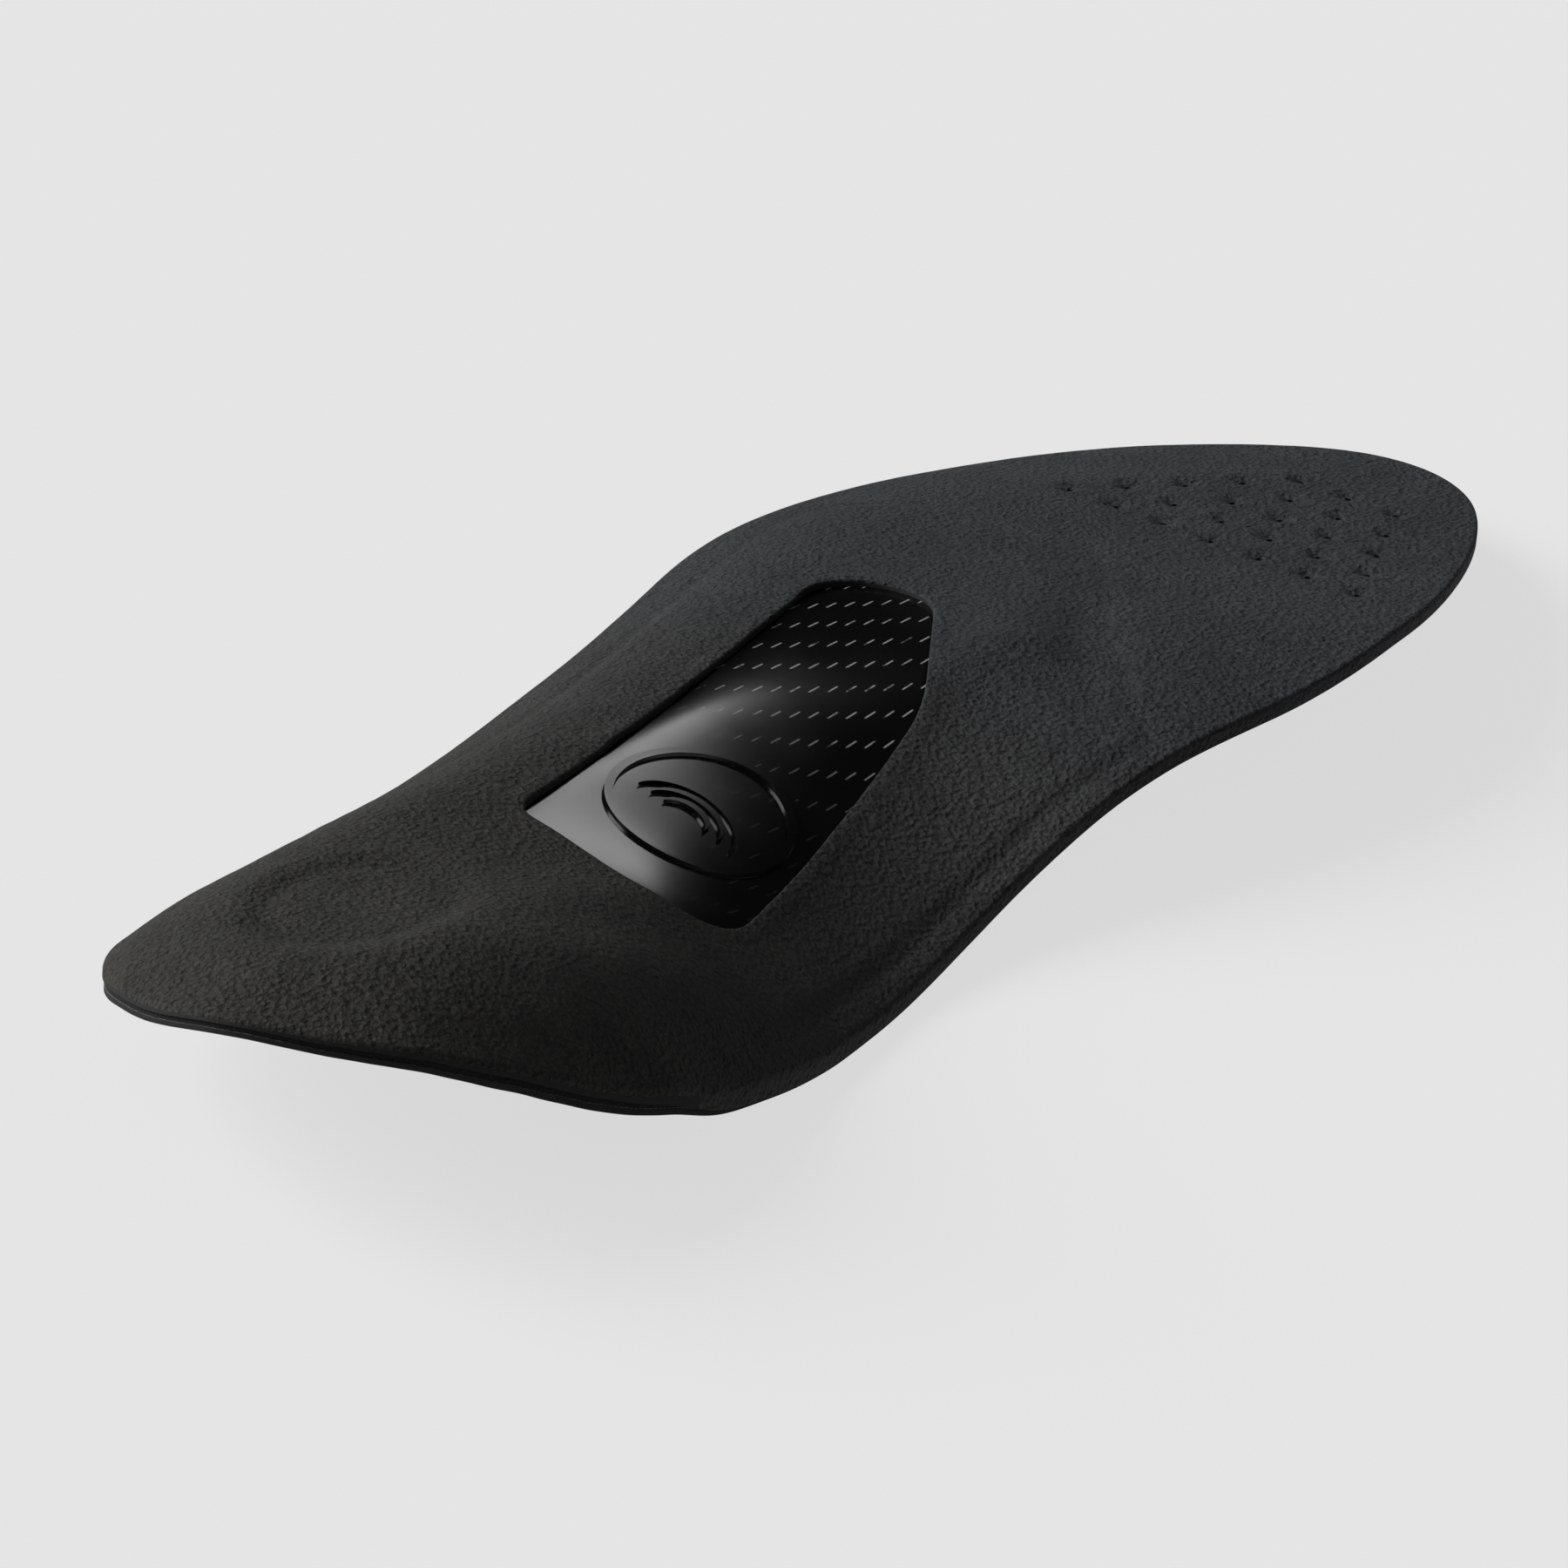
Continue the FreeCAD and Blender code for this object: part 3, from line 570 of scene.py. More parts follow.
def rounded_off(distance, radius):
    """How far a rounded edge has dropped at a distance in from it."""
    left = np.clip(1 - distance / radius, 0, 1)
    return radius * (1 - np.sqrt(np.clip(1 - left * left, 0, 1)))


def oval_gap(points):
    """Distance outside the heel pad's oval, roughly, in millimetres."""
    away = (points - pad_middle) / pad_half
    return (np.linalg.norm(away, axis=1) - 1) * pad_half.mean()


def vent_gap(points):
    """Distance to the nearest vent's middle, the bearing from it and which vent it is."""
    away = points[:, None, :] - vents[None, :, :]
    gaps = np.linalg.norm(away, axis=2)
    nearest = gaps.argmin(1)
    pick = np.arange(len(points))
    bearing = np.arctan2(away[pick, nearest, 1], away[pick, nearest, 0])
    return gaps[pick, nearest], bearing, nearest


def vent_pinches(points):
    """The skin drawn in around each vent, with short creases running into it."""
    gap, bearing, nearest = vent_gap(points)
    phase = nearest * 2.4
    creases = 0.5 + 0.5 * np.cos(4 * bearing + phase + 0.8 * np.sin(bearing + phase))
    reach = 1.15 + 0.75 * creases
    return VENT_RIDGE * bell(gap, 2.6, 0.9) - VENT_DEPTH * bell(gap, 0, reach)


def rim_wrinkles(points, gap, run):
    """Fine creases at right angles to the rim, where the skin was pulled over the heel's wall."""
    wave = np.sin(2 * math.pi * (run / 1.9 + 0.55 * waves(points, 7.0, 11)))
    wave += 0.6 * np.sin(2 * math.pi * (run / 1.25 + 0.5 * waves(points, 5.0, 12)))
    band = eased(gap, 0.4, 2.0) * (1 - eased(gap, 5.5, 11.0))
    patch = 0.55 + 0.45 * waves(points, 14.0, 13)
    near_heel = 1 - eased(points[:, 0], 0.20 * LENGTH, 0.34 * LENGTH)
    near_side = eased(-points[:, 1], -6.0, 10.0)
    return WRINKLE_DEPTH * wave * band * np.clip(patch, 0.1, 1) * (0.02 + 0.98 * near_heel * near_side)


def shell_step(points):
    """The skin dips beside the shell's edge and climbs over it."""
    gap, _ = shell_edge.measure(points)
    groove = -SHELL_GROOVE * bell(gap, -0.9, 1.2)
    climb = SHELL_CLIMB * eased(gap, -1.2, 1.4) * (1 - eased(gap, 3.0, 16.0))
    strength = 0.35 + 0.65 * eased(points[:, 0], 0.20 * LENGTH, 0.36 * LENGTH)
    strength -= 0.60 * eased(points[:, 0], 0.55 * LENGTH, 0.64 * LENGTH)
    return (groove + climb) * strength


def ball_valley(points):
    """A shallow hollow across the sole just behind the ball's cushioning."""
    middle = np.array([0.658 * LENGTH, -0.34 * HALF_WIDTH])
    along = np.array([0.85, 0.53])
    away = points - middle
    lengthways = away @ along
    across = away @ np.array([along[1], -along[0]])
    return -VALLEY_DEPTH * bell(across, 0, 5.0) * bell(lengthways, 0, 19.0)


# The edge of the level tread, heel first: shares of the length and of half the width.
TREAD_EDGE = ((0.036, 0.24), (0.041, -0.02), (0.067, -0.17), (0.116, -0.24), (0.20, -0.22),
              (0.34, -0.36), (0.46, -0.28), (0.56, -0.14), (0.625, -0.19))


def tread_shoulder(points):
    """A soft shoulder where the level tread turns down to the heel's wall and the arch."""
    corners = np.array(TREAD_EDGE) * (LENGTH, HALF_WIDTH)
    nearest = np.full(len(points), 1e9)
    for a, b in zip(corners, corners[1:]):
        chord = b - a
        share = np.clip((points - a) @ chord / (chord @ chord), 0, 1)
        gap = np.linalg.norm(points - a - share[:, None] * chord, axis=1)
        nearest = np.minimum(nearest, gap)
    return SHOULDER_HEIGHT * bell(nearest, 0, 6.0)


def sole_relief(points):
    """Height of the microfibre skin above the plain moulded surface."""
    rim_gap, rim_run = rim.measure(points)
    window_out = -window.measure(points)[0]
    ring = oval_gap(points)
    height = -rounded_off(rim_gap, RIM_ROUND)
    height -= rounded_off(window_out, LIP_ROUND)
    height += LIP_BEAD * bell(window_out, 1.3, 0.8)
    height -= PAD_GROOVE * bell(ring, 0, 2.2)
    height += PAD_BEAD * bell(ring, 4.5, 2.5)
    height += vent_pinches(points)
    height += rim_wrinkles(points, rim_gap, rim_run)
    height += shell_step(points)
    height += ball_valley(points)
    height += tread_shoulder(points) * eased(rim_gap, 2, 9)
    height += SWELL * waves(points, 16.0, 21, 2) * eased(rim_gap, 0, 6)
    height += PEBBLING * waves(points, 2.6, 22, 2) * eased(rim_gap, 0, 1)
    return height


# ---------------------------------------------------------------- the pieces

# Spacing of the points inside each piece's faces, mm.
COVER_MESH = 0.52
FOAM_MESH = 2.5
LINING_MESH = 0.9
SHELL_MESH = 1.1
HIDDEN_MESH = 3.0


def vent_rings(radii, sides=VENT_SIDES):
    """Points in rings of the given radii around every vent."""
    angles = np.arange(sides) * 2 * math.pi / sides
    unit = np.column_stack([np.cos(angles), np.sin(angles)])
    return [centre + radius * unit for centre in vents for radius in radii]


def clear_of_vents(points, gap):
    """Only the points farther than gap from every vent's middle."""
    return points[vent_gap(points)[0] > gap]


def vent_holes():
    """The outline of every vent."""
    return vent_rings([VENT_RADIUS])


def close_walls(skin, upper, lower, loops_above, loops_below):
    """Joins the outlines of an upper and a lower patch, the outermost one first."""
    for above, below in zip(loops_above, loops_below):
        skin.band(upper + above, lower + below)


def raised(points, heights):
    """Plan points with their heights."""
    return np.column_stack([points, heights])


def skirt_depth(points):
    """How far the skin is turned down over the foam's edge: not at the heel, where it is cut."""
    return SKIRT * eased(points[:, 0], 0.13 * LENGTH, 0.24 * LENGTH)


def make_sole_cover(*materials):
    """The microfibre skin of the sole side, with its window, vents, creases and turned edge."""
    holes = [window_loop[::-1]] + [v[::-1] for v in vent_holes()]
    fine = clear_of_vents(lattice(rim, COVER_MESH, 1.9, [(window, 1.35)]), 2.45)
    edge = rings(rim_loop, [-0.1, -0.25, -0.45, -0.75, -1.15, -1.6])
    lip = rings(window_loop, [0.08, 0.2, 0.4, 0.7, 1.1])
    pinch = vent_rings([0.62, 0.8, 1.05, 1.4, 1.8, 2.2], 18)
    top, top_faces, top_loops = plan_mesh(rim_loop, holes, edge + lip + pinch + [fine])
    coarse = clear_of_vents(lattice(rim, HIDDEN_MESH, 1.5, [(window, 1.5)]), 1.5)
    inner = rings(rim_loop, [-SKIRT_WALL])[0]
    under, under_faces, under_loops = plan_mesh(inner, holes, [coarse])
    skin = Skin()
    upper = skin.add(raised(top, sole_side.at(top) + sole_relief(top)), top_faces)
    lower = skin.add(raised(under, cover_under.at(under)), under_faces, flip=True)
    close_walls(skin, upper, lower, top_loops[1:], under_loops[1:])
    drop = skirt_depth(rim_loop)
    hem = cover_under.at(rim_loop) - drop - 0.02
    loops = [upper + top_loops[0]]
    for loop in (raised(rim_loop, hem), raised(inner, hem)):
        loops.append(skin.add(loop, []) + np.arange(len(loop)))
    loops.append(lower + under_loops[0])
    outer_wall = len(skin.walls)
    for above, below in zip(loops, loops[1:]):
        skin.band(above, below)
    for number, depth in enumerate(drop):
        if depth > 0.6 * SKIRT:  # here the outer wall is turned-down skin, not a cut edge
            skin.walls[outer_wall + number] = 0
    return skin.build("Sole_Cover", materials, "sole_cover")


def make_foam(*materials):
    """The cushioning core: its cut edge shows as a dark band between the two covers."""
    loop = rings(rim_loop, [-0.34])[0]
    border = Border(loop)
    foam_top = HeightMap("cushion_foam", True)
    holes = [v[::-1] for v in vent_holes()]
    top_points = clear_of_vents(lattice(border, FOAM_MESH, 2.0), 1.8)
    top, top_faces, top_loops = plan_mesh(loop, holes, rings(loop, [-0.5, -1.2]) + [top_points])
    under, under_faces, under_loops = plan_mesh(loop, holes, [top_points])
    height = np.minimum(foam_top.at(top), cover_under.at(top))
    skin = Skin()
    upper = skin.add(raised(top, height), top_faces)
    lower = skin.add(raised(under, foam_under.at(under)), under_faces, flip=True)
    close_walls(skin, upper, lower, top_loops, under_loops)
    return skin.build("Cushion_Foam", materials, "cushion_foam")


def make_top_cover(*materials):
    """The fabric that the foot rests on, pierced by the vents."""
    holes = [v[::-1] for v in vent_holes()]
    fine = clear_of_vents(lattice(rim, LINING_MESH, 1.6), 1.9)
    loop = rings(rim_loop, [-SKIRT_WALL - 0.04])[0]
    edge = rings(loop, [-0.08, -0.2, -0.4, -0.8, -1.3])
    pinch = vent_rings([0.6, 0.8, 1.2, 1.6], 14)
    foot, foot_faces, foot_loops = plan_mesh(loop, holes, edge + pinch + [fine])
    coarse = clear_of_vents(lattice(rim, HIDDEN_MESH, 2.0), 1.5)
    top, top_faces, top_loops = plan_mesh(loop, holes, [coarse])
    gap, _ = rim.measure(foot)
    heights = foot_side.at(foot) + rounded_off(gap - SKIRT_WALL, 0.35)
    heights += 0.16 * np.exp(-((vent_gap(foot)[0] - VENT_RADIUS) / 0.45) ** 2)
    heights += 0.05 * waves(foot, 22.0, 31) * eased(gap, 0, 6)
    skin = Skin()
    upper = skin.add(raised(top, foam_under.at(top)), top_faces)
    lower = skin.add(raised(foot, heights), foot_faces, flip=True)
    close_walls(skin, upper, lower, top_loops, foot_loops)
    return skin.build("Top_Cover", materials, "top_cover")


def make_shell(*materials):
    """The stiff glossy plate that shows through the window."""
    angles = np.arange(72) * 2 * math.pi / 72
    oval = pad_middle + (pad_half + 0.1) * np.column_stack([np.cos(angles), np.sin(angles)])
    hole = Border(oval)
    edge = rings(shell_loop, [-0.12, -0.3, -0.7])
    fine = lattice(shell_edge, SHELL_MESH, 1.2, [(hole, 0.8)])
    top, top_faces, top_loops = plan_mesh(shell_loop, [oval[::-1]], edge + [fine])
    under, under_faces, under_loops = plan_mesh(shell_loop, [oval[::-1]], [fine])
    gap, _ = shell_edge.measure(top)
    skin = Skin()
    upper = skin.add(raised(top, shell_top.at(top) - rounded_off(gap, 0.3)), top_faces)
    lower = skin.add(raised(under, shell_under.at(under)), under_faces, flip=True)
    close_walls(skin, upper, lower, top_loops, under_loops)
    return skin.build("Support_Shell", materials, "support_shell")


# ---------------------------------------------------------------- materials

class Shader:
    """A small helper for node trees: adds a node and joins sockets or sets their values."""

    def __init__(self, name):
        self.material = bpy.data.materials.new(name)
        self.material.use_nodes = True
        self.tree = self.material.node_tree
        self.surface = self.tree.nodes["Principled BSDF"]

    def put(self, target, value):
        """Joins a socket to value if that is a socket too, or else sets it."""
        if isinstance(value, bpy.types.NodeSocket):
            self.tree.links.new(value, target)
        elif hasattr(target.default_value, "__len__") and not hasattr(value, "__len__"):
            target.default_value = [value] * len(target.default_value)
        else:
            target.default_value = value

    def add(self, kind, result=0, settings=None, **inputs):
        """Adds a node. Inputs are named by their sockets, with _ for a space, or by i and a number."""
        node = self.tree.nodes.new(kind)
        for key, value in (settings or {}).items():
            setattr(node, key, value)
        for key, value in inputs.items():
            if key[0] == "i" and key[1:].isdigit():
                self.put(node.inputs[int(key[1:])], value)
            else:
                self.put(node.inputs[key.replace("_", " ")], value)
        return node.outputs[result]

    def maths(self, operation, first, second=0.0, clamp=False):
        """A Math node."""
        settings = {"operation": operation, "use_clamp": clamp}
        return self.add("ShaderNodeMath", settings=settings, i0=first, i1=second)

    def ramp(self, value, low, high, start=0.0, end=1.0):
        """Maps low..high of a value to start..end, easing in and out."""
        settings = {"interpolation_type": "SMOOTHSTEP"}
        return self.add("ShaderNodeMapRange", 0, settings, i0=value, i1=low, i2=high, i3=start, i4=end)

    def blend(self, share, first, second):
        """A colour between two colours."""
        settings = {"data_type": "RGBA"}
        return self.add("ShaderNodeMix", 2, settings, i0=share, i6=first, i7=second)

    def noise(self, place, scale, detail=3.0, roughness=0.5):
        """Noise of a scale per millimetre."""
        return self.add("ShaderNodeTexNoise", Vector=place, Scale=scale / MM, Detail=detail,
                        Roughness=roughness)

    def bump(self, height, strength, distance, normal=None):
        """A Bump node over height, a distance in millimetres deep."""
        inputs = {"Height": height, "Strength": strength, "Distance": distance * MM}
        if normal is not None:
            inputs["Normal"] = normal
        return self.add("ShaderNodeBump", **inputs)

    def finish(self, **inputs):
        """Sets the surface's inputs and returns the material."""
        for key, value in inputs.items():
            self.put(self.surface.inputs[key.replace("_", " ")], value)
        return self.material


def colour(red, green, blue):
    """An opaque colour in linear light."""
    return (red, green, blue, 1.0)


def place_of(shader):
    """Place on the object, in metres of the row's frame."""
    return shader.add("ShaderNodeTexCoord", 3)


def sole_axis(shader, place, axis):
    """The place along one axis of the sole's frame, in metres."""
    along = Vector(turn[axis])
    dot = shader.add("ShaderNodeVectorMath", 1, {"operation": "DOT_PRODUCT"}, i0=place, i1=along)
    return shader.maths("SUBTRACT", dot, origin[axis] * MM)


def microfibre():
    """Brushed black microfibre leather: pebbled fine grain with painted highlights on its raised tops,
    bluish at the toe and warmer at the heel.
    """
    s = Shader("Microfibre")
    place = place_of(s)
    lengthways = sole_axis(s, place, 0)
    toe = s.ramp(lengthways, 0.25 * LENGTH * MM, 0.75 * LENGTH * MM)
    base = s.blend(toe, colour(0.0175, 0.0168, 0.0148), colour(0.0165, 0.0178, 0.0195))
    mottled = s.noise(place, 0.09, 4.0)
    grain = s.add("ShaderNodeTexVoronoi", settings={"feature": "SMOOTH_F1"},
                  Vector=place, Scale=1.25 / MM, Smoothness=0.3)
    fine = s.noise(place, 1.7, 4.0, 0.7)
    creases = s.noise(place, 0.8, 4.0, 0.6)
    shade = s.ramp(mottled, 0.25, 0.75, 0.84, 1.14)
    # painted highlight: the colour is lighter where the fine grain's bumps stand highest, as if light
    # caught their tops
    painted_grain_highlight = s.ramp(fine, 0.34, 0.66, 0.45, 1.62)
    tint = s.maths("MULTIPLY", shade, painted_grain_highlight)
    base = s.add("ShaderNodeVectorMath", 0, {"operation": "SCALE"}, Vector=base, Scale=tint)
    pits = s.bump(grain, 1.0, 0.62)
    pits = s.bump(fine, 1.0, 0.62, pits)
    pits = s.bump(creases, 0.9, 0.5, pits)
    rough = s.ramp(fine, 0.3, 0.7, 0.62, 0.82)
    return s.finish(Base_Color=base, Roughness=rough, Specular_IOR_Level=0.10, Normal=pits,
                    Sheen_Weight=0.02, Sheen_Roughness=0.5, Sheen_Tint=colour(0.6, 0.65, 0.7))


def cut_foam():
    """Black closed-cell foam with an open, matte cut edge."""
    s = Shader("Cut_Foam")
    place = place_of(s)
    cells = s.add("ShaderNodeTexVoronoi", Vector=place, Scale=2.2 / MM)
    mottled = s.noise(place, 0.4, 3.0)
    base = s.blend(mottled, colour(0.004, 0.004, 0.0042), colour(0.009, 0.009, 0.0095))
    return s.finish(Base_Color=base, Roughness=0.95, Specular_IOR_Level=0.12,
                    Normal=s.bump(cells, 0.6, 0.25))


def cut_edge():
    """The trimmed edge of the covers: dark, matte and slightly fibrous."""
    s = Shader("Cut_Edge")
    place = place_of(s)
    fibres = s.noise(place, 1.6, 4.0, 0.65)
    base = s.blend(fibres, colour(0.005, 0.005, 0.005), colour(0.014, 0.014, 0.0135))
    return s.finish(Base_Color=base, Roughness=0.9, Specular_IOR_Level=0.15,
                    Normal=s.bump(fibres, 0.6, 0.15))


def knitted_top():
    """Charcoal knitted lining: rows of small loops, felted a little."""
    s = Shader("Knitted_Top")
    place = place_of(s)
    wide = s.maths("MULTIPLY", sole_axis(s, place, 1), 2 * math.pi / (1.1 * MM))
    long = s.maths("MULTIPLY", sole_axis(s, place, 0), 2 * math.pi / (0.8 * MM))
    column = s.maths("SINE", wide)
    lean = s.maths("MULTIPLY", s.maths("ABSOLUTE", s.maths("SINE", s.maths("MULTIPLY", wide, 0.5))), 2.2)
    loop = s.maths("SINE", s.maths("ADD", long, lean))
    knit = s.maths("ADD", s.maths("MULTIPLY", column, 0.25), s.maths("MULTIPLY", loop, 0.25))
    fuzz = s.noise(place, 3.0, 4.0, 0.6)
    mottled = s.noise(place, 0.12, 3.0)
    shade = s.ramp(s.maths("ADD", knit, s.maths("MULTIPLY", fuzz, 0.6)), -0.3, 0.9)
    base = s.blend(shade, colour(0.009, 0.009, 0.010), colour(0.034, 0.035, 0.038))
    tint = s.ramp(mottled, 0.3, 0.7, 0.88, 1.1)
    base = s.add("ShaderNodeVectorMath", 0, {"operation": "SCALE"}, Vector=base, Scale=tint)
    bumps = s.bump(knit, 0.7, 0.22)
    bumps = s.bump(fuzz, 0.4, 0.12, bumps)
    return s.finish(Base_Color=base, Roughness=0.9, Specular_IOR_Level=0.2, Normal=bumps,
                    Sheen_Weight=0.15, Sheen_Roughness=0.5)


WEAVE_STEP = (2.0, -1.63)   # from one painted glint to the next in a row, along and across the foot, mm
WEAVE_ROW = (-5.4, -3.4)    # from one row of painted glints to the next, mm
GLINT_DASH = (2.7, 0.27)          # length and width of a painted glint, mm
GLINT_TURN = (0.9987, -0.05)  # direction of the painted glints


def weave_glint_mask(s, place):
    """Where the painted highlights of the composite's yarns lie, as short light strokes, from 0 to 1."""
    long = s.maths("DIVIDE", sole_axis(s, place, 0), MM)
    wide = s.maths("DIVIDE", sole_axis(s, place, 1), MM)
    (ax, ay), (bx, by) = WEAVE_STEP, WEAVE_ROW
    area = ax * by - ay * bx
    first = s.maths("SUBTRACT", s.maths("MULTIPLY", long, by / area), s.maths("MULTIPLY", wide, bx / area))
    second = s.maths("SUBTRACT", s.maths("MULTIPLY", wide, ax / area), s.maths("MULTIPLY", long, ay / area))
    first = s.maths("SUBTRACT", first, s.maths("ROUND", first))
    second = s.maths("SUBTRACT", second, s.maths("ROUND", second))
    off_long = s.maths("ADD", s.maths("MULTIPLY", first, ax), s.maths("MULTIPLY", second, bx))
    off_wide = s.maths("ADD", s.maths("MULTIPLY", first, ay), s.maths("MULTIPLY", second, by))
    cx, cy = GLINT_TURN
    along = s.maths("ADD", s.maths("MULTIPLY", off_long, cx), s.maths("MULTIPLY", off_wide, cy))
    across = s.maths("SUBTRACT", s.maths("MULTIPLY", off_wide, cx), s.maths("MULTIPLY", off_long, cy))
    across = s.maths("ABSOLUTE", across)
    ends = s.ramp(s.maths("ABSOLUTE", along), GLINT_DASH[0] / 2 - 0.5, GLINT_DASH[0] / 2, 1.0, 0.0)
    sides = s.ramp(across, 0.4 * GLINT_DASH[1] / 2, GLINT_DASH[1] / 2 * 1.3, 1.0, 0.0)
    return s.maths("MULTIPLY", ends, sides)


def glossy_shell(painted_glints=True):
    """Glossy black composite: a clear smooth skin over black yarns, whose glints can be painted into the
    colour as short light-grey strokes.
    """
    s = Shader("Glossy_Shell" if painted_glints else "Glossy_Relief")
    place = place_of(s)
    ripple = s.noise(place, 0.05, 2.0)
    base = colour(0.0012, 0.0012, 0.0014)
    if painted_glints:
        # painted highlights: the yarns' glints as light-grey strokes in the base colour, broken up at
        # random and faded out towards the heel end of the window
        glint_mask = weave_glint_mask(s, place)
        broken = s.ramp(s.noise(place, 0.5, 3.0), 0.3, 0.5, 0.15, 1.0)
        toe = s.ramp(sole_axis(s, place, 0), 0.42 * LENGTH * MM, 0.53 * LENGTH * MM, 0.07, 1.0)
        glint_mask = s.maths("MULTIPLY", s.maths("MULTIPLY", glint_mask, broken), toe)
        base = s.blend(glint_mask, base, colour(0.16, 0.165, 0.17))
    rough = s.ramp(ripple, 0.3, 0.7, 0.15, 0.19)
    return s.finish(Base_Color=base, Roughness=rough, Specular_IOR_Level=0.5,
                    Normal=s.bump(ripple, 0.1, 0.2))


def dense_pad(name, dark, light, cell):
    """Moulded cushioning of the hidden pads: fine cells of a given size in millimetres."""
    s = Shader(name)
    place = place_of(s)
    cells = s.add("ShaderNodeTexVoronoi", Vector=place, Scale=1 / (cell * MM))
    mottled = s.noise(place, 0.3, 3.0)
    return s.finish(Base_Color=s.blend(mottled, colour(*dark), colour(*light)), Roughness=0.85,
                    Specular_IOR_Level=0.25, Normal=s.bump(cells, 0.5, 0.2))


FLOOR_GLOW = 0.675          # light that the floor gives off


def pale_floor():
    """A plain pale studio floor that glows a little, like a light table."""
    s = Shader("Pale_Floor")
    place = place_of(s)
    mottled = s.noise(place, 0.002, 2.0)
    base = s.blend(mottled, colour(0.079, 0.079, 0.079), colour(0.081, 0.081, 0.081))
    return s.finish(Base_Color=base, Roughness=1.0, Specular_IOR_Level=0.0,
                    Emission_Color=colour(1, 1, 1), Emission_Strength=FLOOR_GLOW)


# ---------------------------------------------------------------- the object

edge_look = cut_edge()
cover = make_sole_cover(microfibre(), edge_look)
foam = make_foam(cut_foam())
lining = make_top_cover(knitted_top(), edge_look)
shell = make_shell(glossy_shell())

pads = {
    "heel_pad": ("Heel_Pad_Gel", (0.02, 0.022, 0.026), (0.03, 0.033, 0.04), 0.5),
    "arch_pad": ("Arch_Pad_Foam", (0.035, 0.035, 0.035), (0.05, 0.05, 0.05), 0.7),
    "ball_pad": ("Ball_Pad_Foam", (0.03, 0.03, 0.032), (0.045, 0.045, 0.05), 0.6),
    "metatarsal_pad": ("Metatarsal_Pad_Foam", (0.03, 0.03, 0.03), (0.045, 0.045, 0.045), 0.7),
}
for node, look in pads.items():
    pad = frame["nodes"][node]
    pad.data.materials.clear()
    pad.data.materials.append(dense_pad(*look))

emblem = frame["nodes"]["shell_emblem"]
emblem.data.materials.clear()
emblem.data.materials.append(glossy_shell(painted_glints=False))
soften = emblem.modifiers.new("Soft_Edges", "BEVEL")
soften.width = 0.34 * MM
soften.segments = 4
soften.limit_method = "ANGLE"
soften.angle_limit = math.radians(40)
for face in emblem.data.polygons:
    face.use_smooth = True

# ---------------------------------------------------------------- floor, light and camera

low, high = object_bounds()
bpy.ops.mesh.primitive_plane_add(size=8.0, location=(0, 0, low.z))
floor = bpy.context.object
floor.name = "Floor"
floor.data.materials.append(pale_floor())


def row_direction(vector):
    """A direction of the sole's frame in the row's frame."""
    return (Vector(vector) @ to_sole).normalized()


def aim(thing, direction):
    """Turns a light so that it shines along a direction."""
    thing.rotation_mode = "QUATERNION"
    thing.rotation_quaternion = direction.to_track_quat("-Z", "Y")


def sun(name, towards, strength, spread):
    """A broad, even light from a direction, so far away that it falls the same everywhere."""
    light = bpy.data.lights.new(name, "SUN")
    light.energy = strength
    light.angle = math.radians(spread)
    thing = bpy.data.objects.new(name, light)
    bpy.context.scene.collection.objects.link(thing)
    aim(thing, -row_direction(towards))
    return thing


SHELL_SHINE = (132.0, 0.0, -8.0)    # place in the window that the softbox shines on, mm


def softbox(name, towards, distance, size, power):
    """A rectangular area light seen from the window in a direction."""
    light = bpy.data.lights.new(name, "AREA")
    light.shape = "RECTANGLE"
    light.size, light.size_y = size
    light.energy = power
    thing = bpy.data.objects.new(name, light)
    bpy.context.scene.collection.objects.link(thing)
    heading = row_direction(towards)
    thing.location = Vector(to_row([SHELL_SHINE])[0]) + heading * distance
    aim(thing, -heading)
    return thing


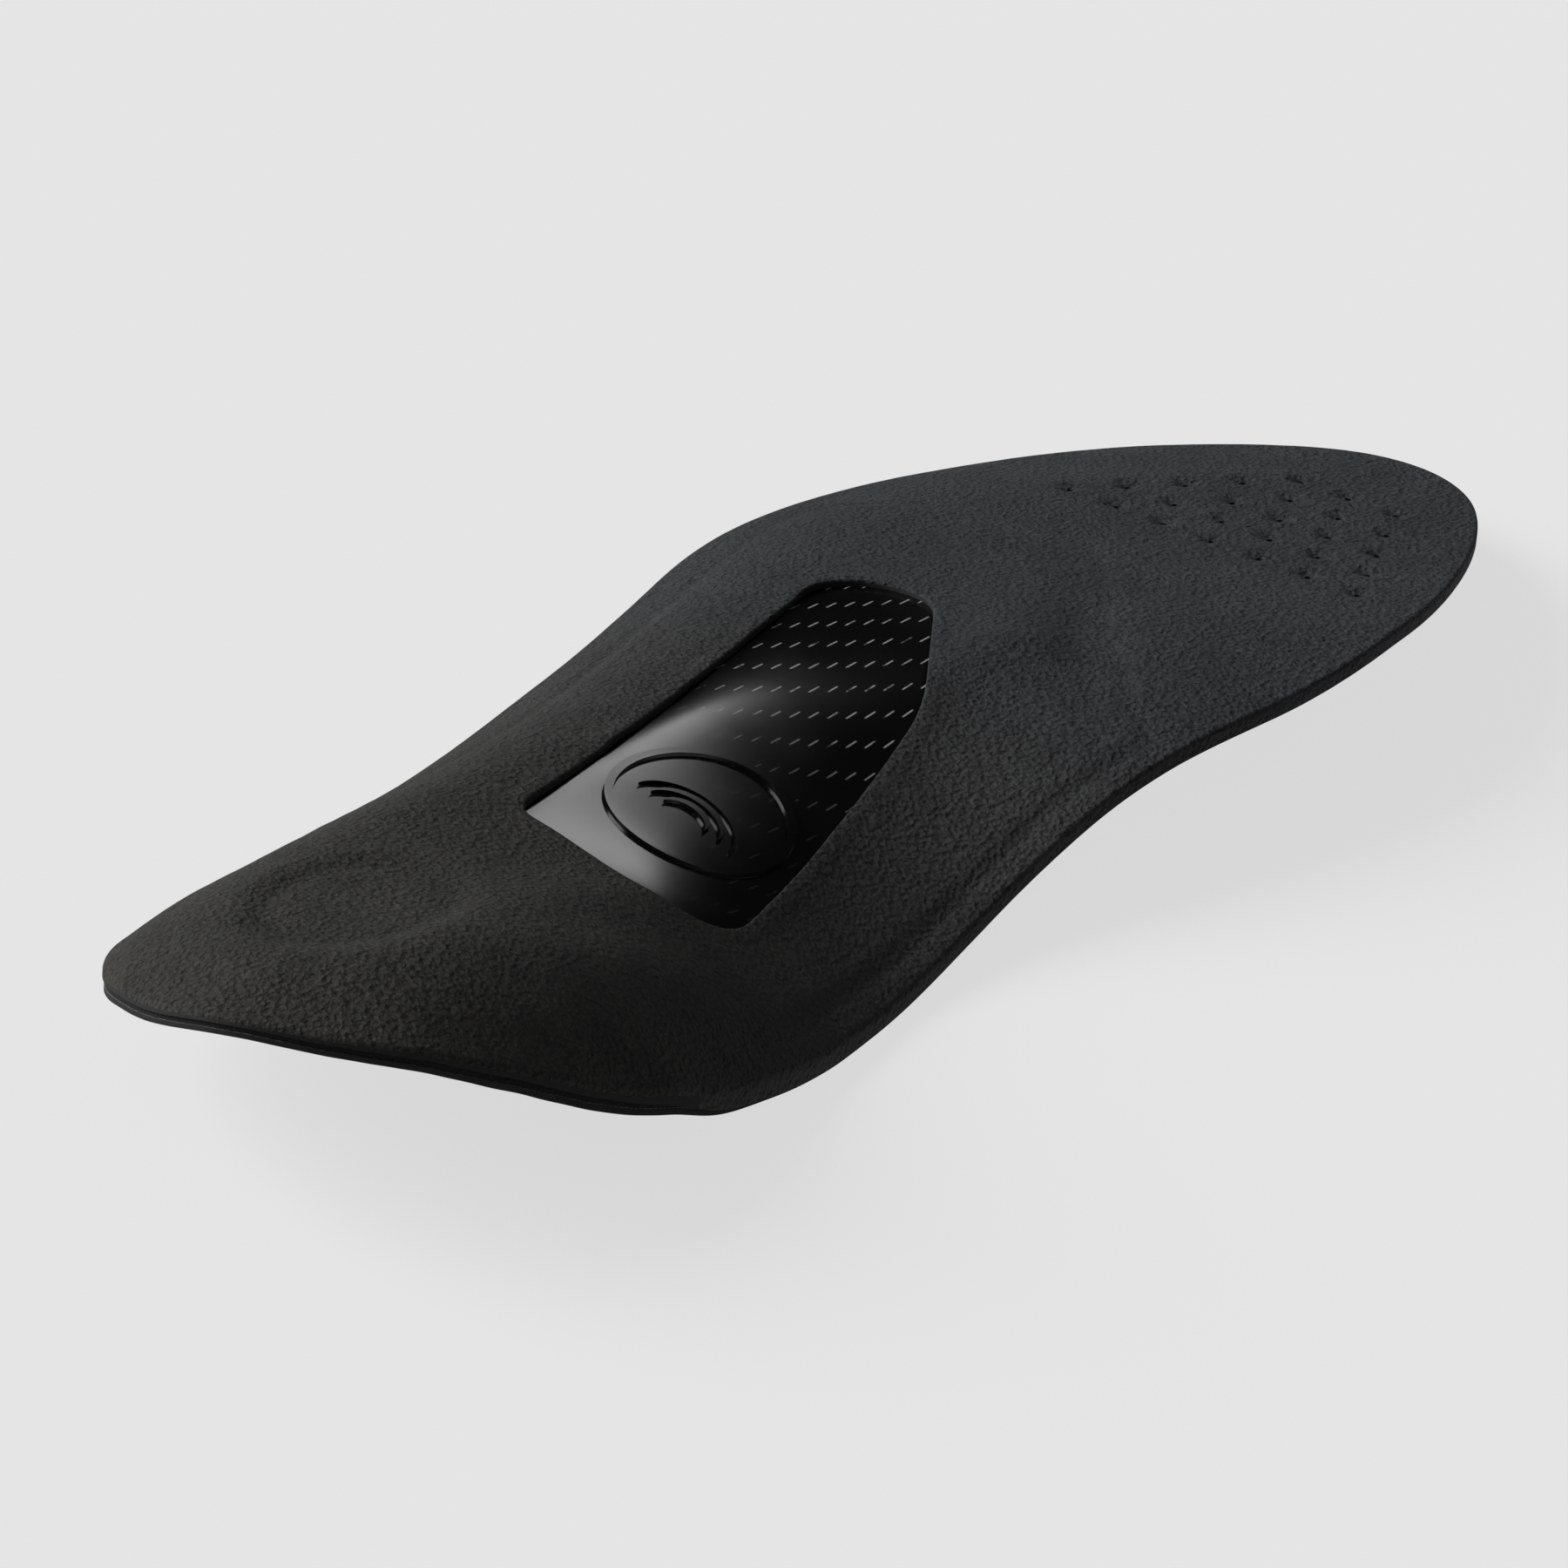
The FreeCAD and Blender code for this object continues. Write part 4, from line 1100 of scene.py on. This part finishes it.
def studio_sky(strength, dim, away, spread):
    """Even pale surroundings, dimmer around one direction, where a black card stands."""
    world = bpy.data.worlds.new("Studio")
    bpy.context.scene.world = world
    world.use_nodes = True
    nodes, links = world.node_tree.nodes, world.node_tree.links
    coordinates = nodes.new("ShaderNodeTexCoord")
    dot = nodes.new("ShaderNodeVectorMath")
    dot.operation = "DOT_PRODUCT"
    dot.inputs[1].default_value = row_direction(away)
    links.new(coordinates.outputs["Generated"], dot.inputs[0])
    card = nodes.new("ShaderNodeMapRange")
    card.interpolation_type = "SMOOTHSTEP"
    card.inputs[1].default_value = math.cos(math.radians(spread * 1.25))
    card.inputs[2].default_value = math.cos(math.radians(spread * 0.8))
    card.inputs[3].default_value = strength
    card.inputs[4].default_value = dim
    links.new(dot.outputs["Value"], card.inputs[0])
    links.new(card.outputs[0], nodes["Background"].inputs["Strength"])
    nodes["Background"].inputs["Color"].default_value = (1, 1, 1, 1)


studio_sky(0.20, 0.005, (0.80, 0.36, 0.48), 34)
sun("Key", (-0.40, 0.74, 0.54), 8.0, 40)
softbox("Shell_Light", (0.845, 0.23, 0.485), 2.0, (0.42, 0.26), 1.15)


def make_camera():
    """The camera, placed against the sole and turned into the row's frame."""
    azimuth, elevation, roll = map(math.radians, (CAMERA_AZIMUTH, CAMERA_ELEVATION, CAMERA_ROLL))
    back = Vector((math.sin(azimuth) * math.cos(elevation), -math.cos(azimuth) * math.cos(elevation),
                   math.sin(elevation)))
    right = Vector((math.cos(azimuth), math.sin(azimuth), 0))
    up = back.cross(right)
    across = right * math.cos(roll) - up * math.sin(roll)
    upright = right * math.sin(roll) + up * math.cos(roll)
    target = np.array([LENGTH / 2, 0, 0]) + np.array([-CAMERA_AIM_BACK, 0.0, -CAMERA_AIM_DEPTH])
    place = target + np.array(back) * CAMERA_DISTANCE
    axes = [(v @ to_sole).normalized() for v in (across, upright, back)]
    data = bpy.data.cameras.new("Camera")
    data.lens = CAMERA_LENS
    data.shift_x, data.shift_y = CAMERA_SHIFT
    data.clip_start, data.clip_end = 0.05, 50
    camera = bpy.data.objects.new("Camera", data)
    camera.matrix_world = Matrix.Translation(to_row([place])[0]) @ Matrix(axes).transposed().to_4x4()
    bpy.context.scene.collection.objects.link(camera)
    bpy.context.scene.camera = camera


make_camera()
bpy.context.scene.view_settings.view_transform = "Standard"
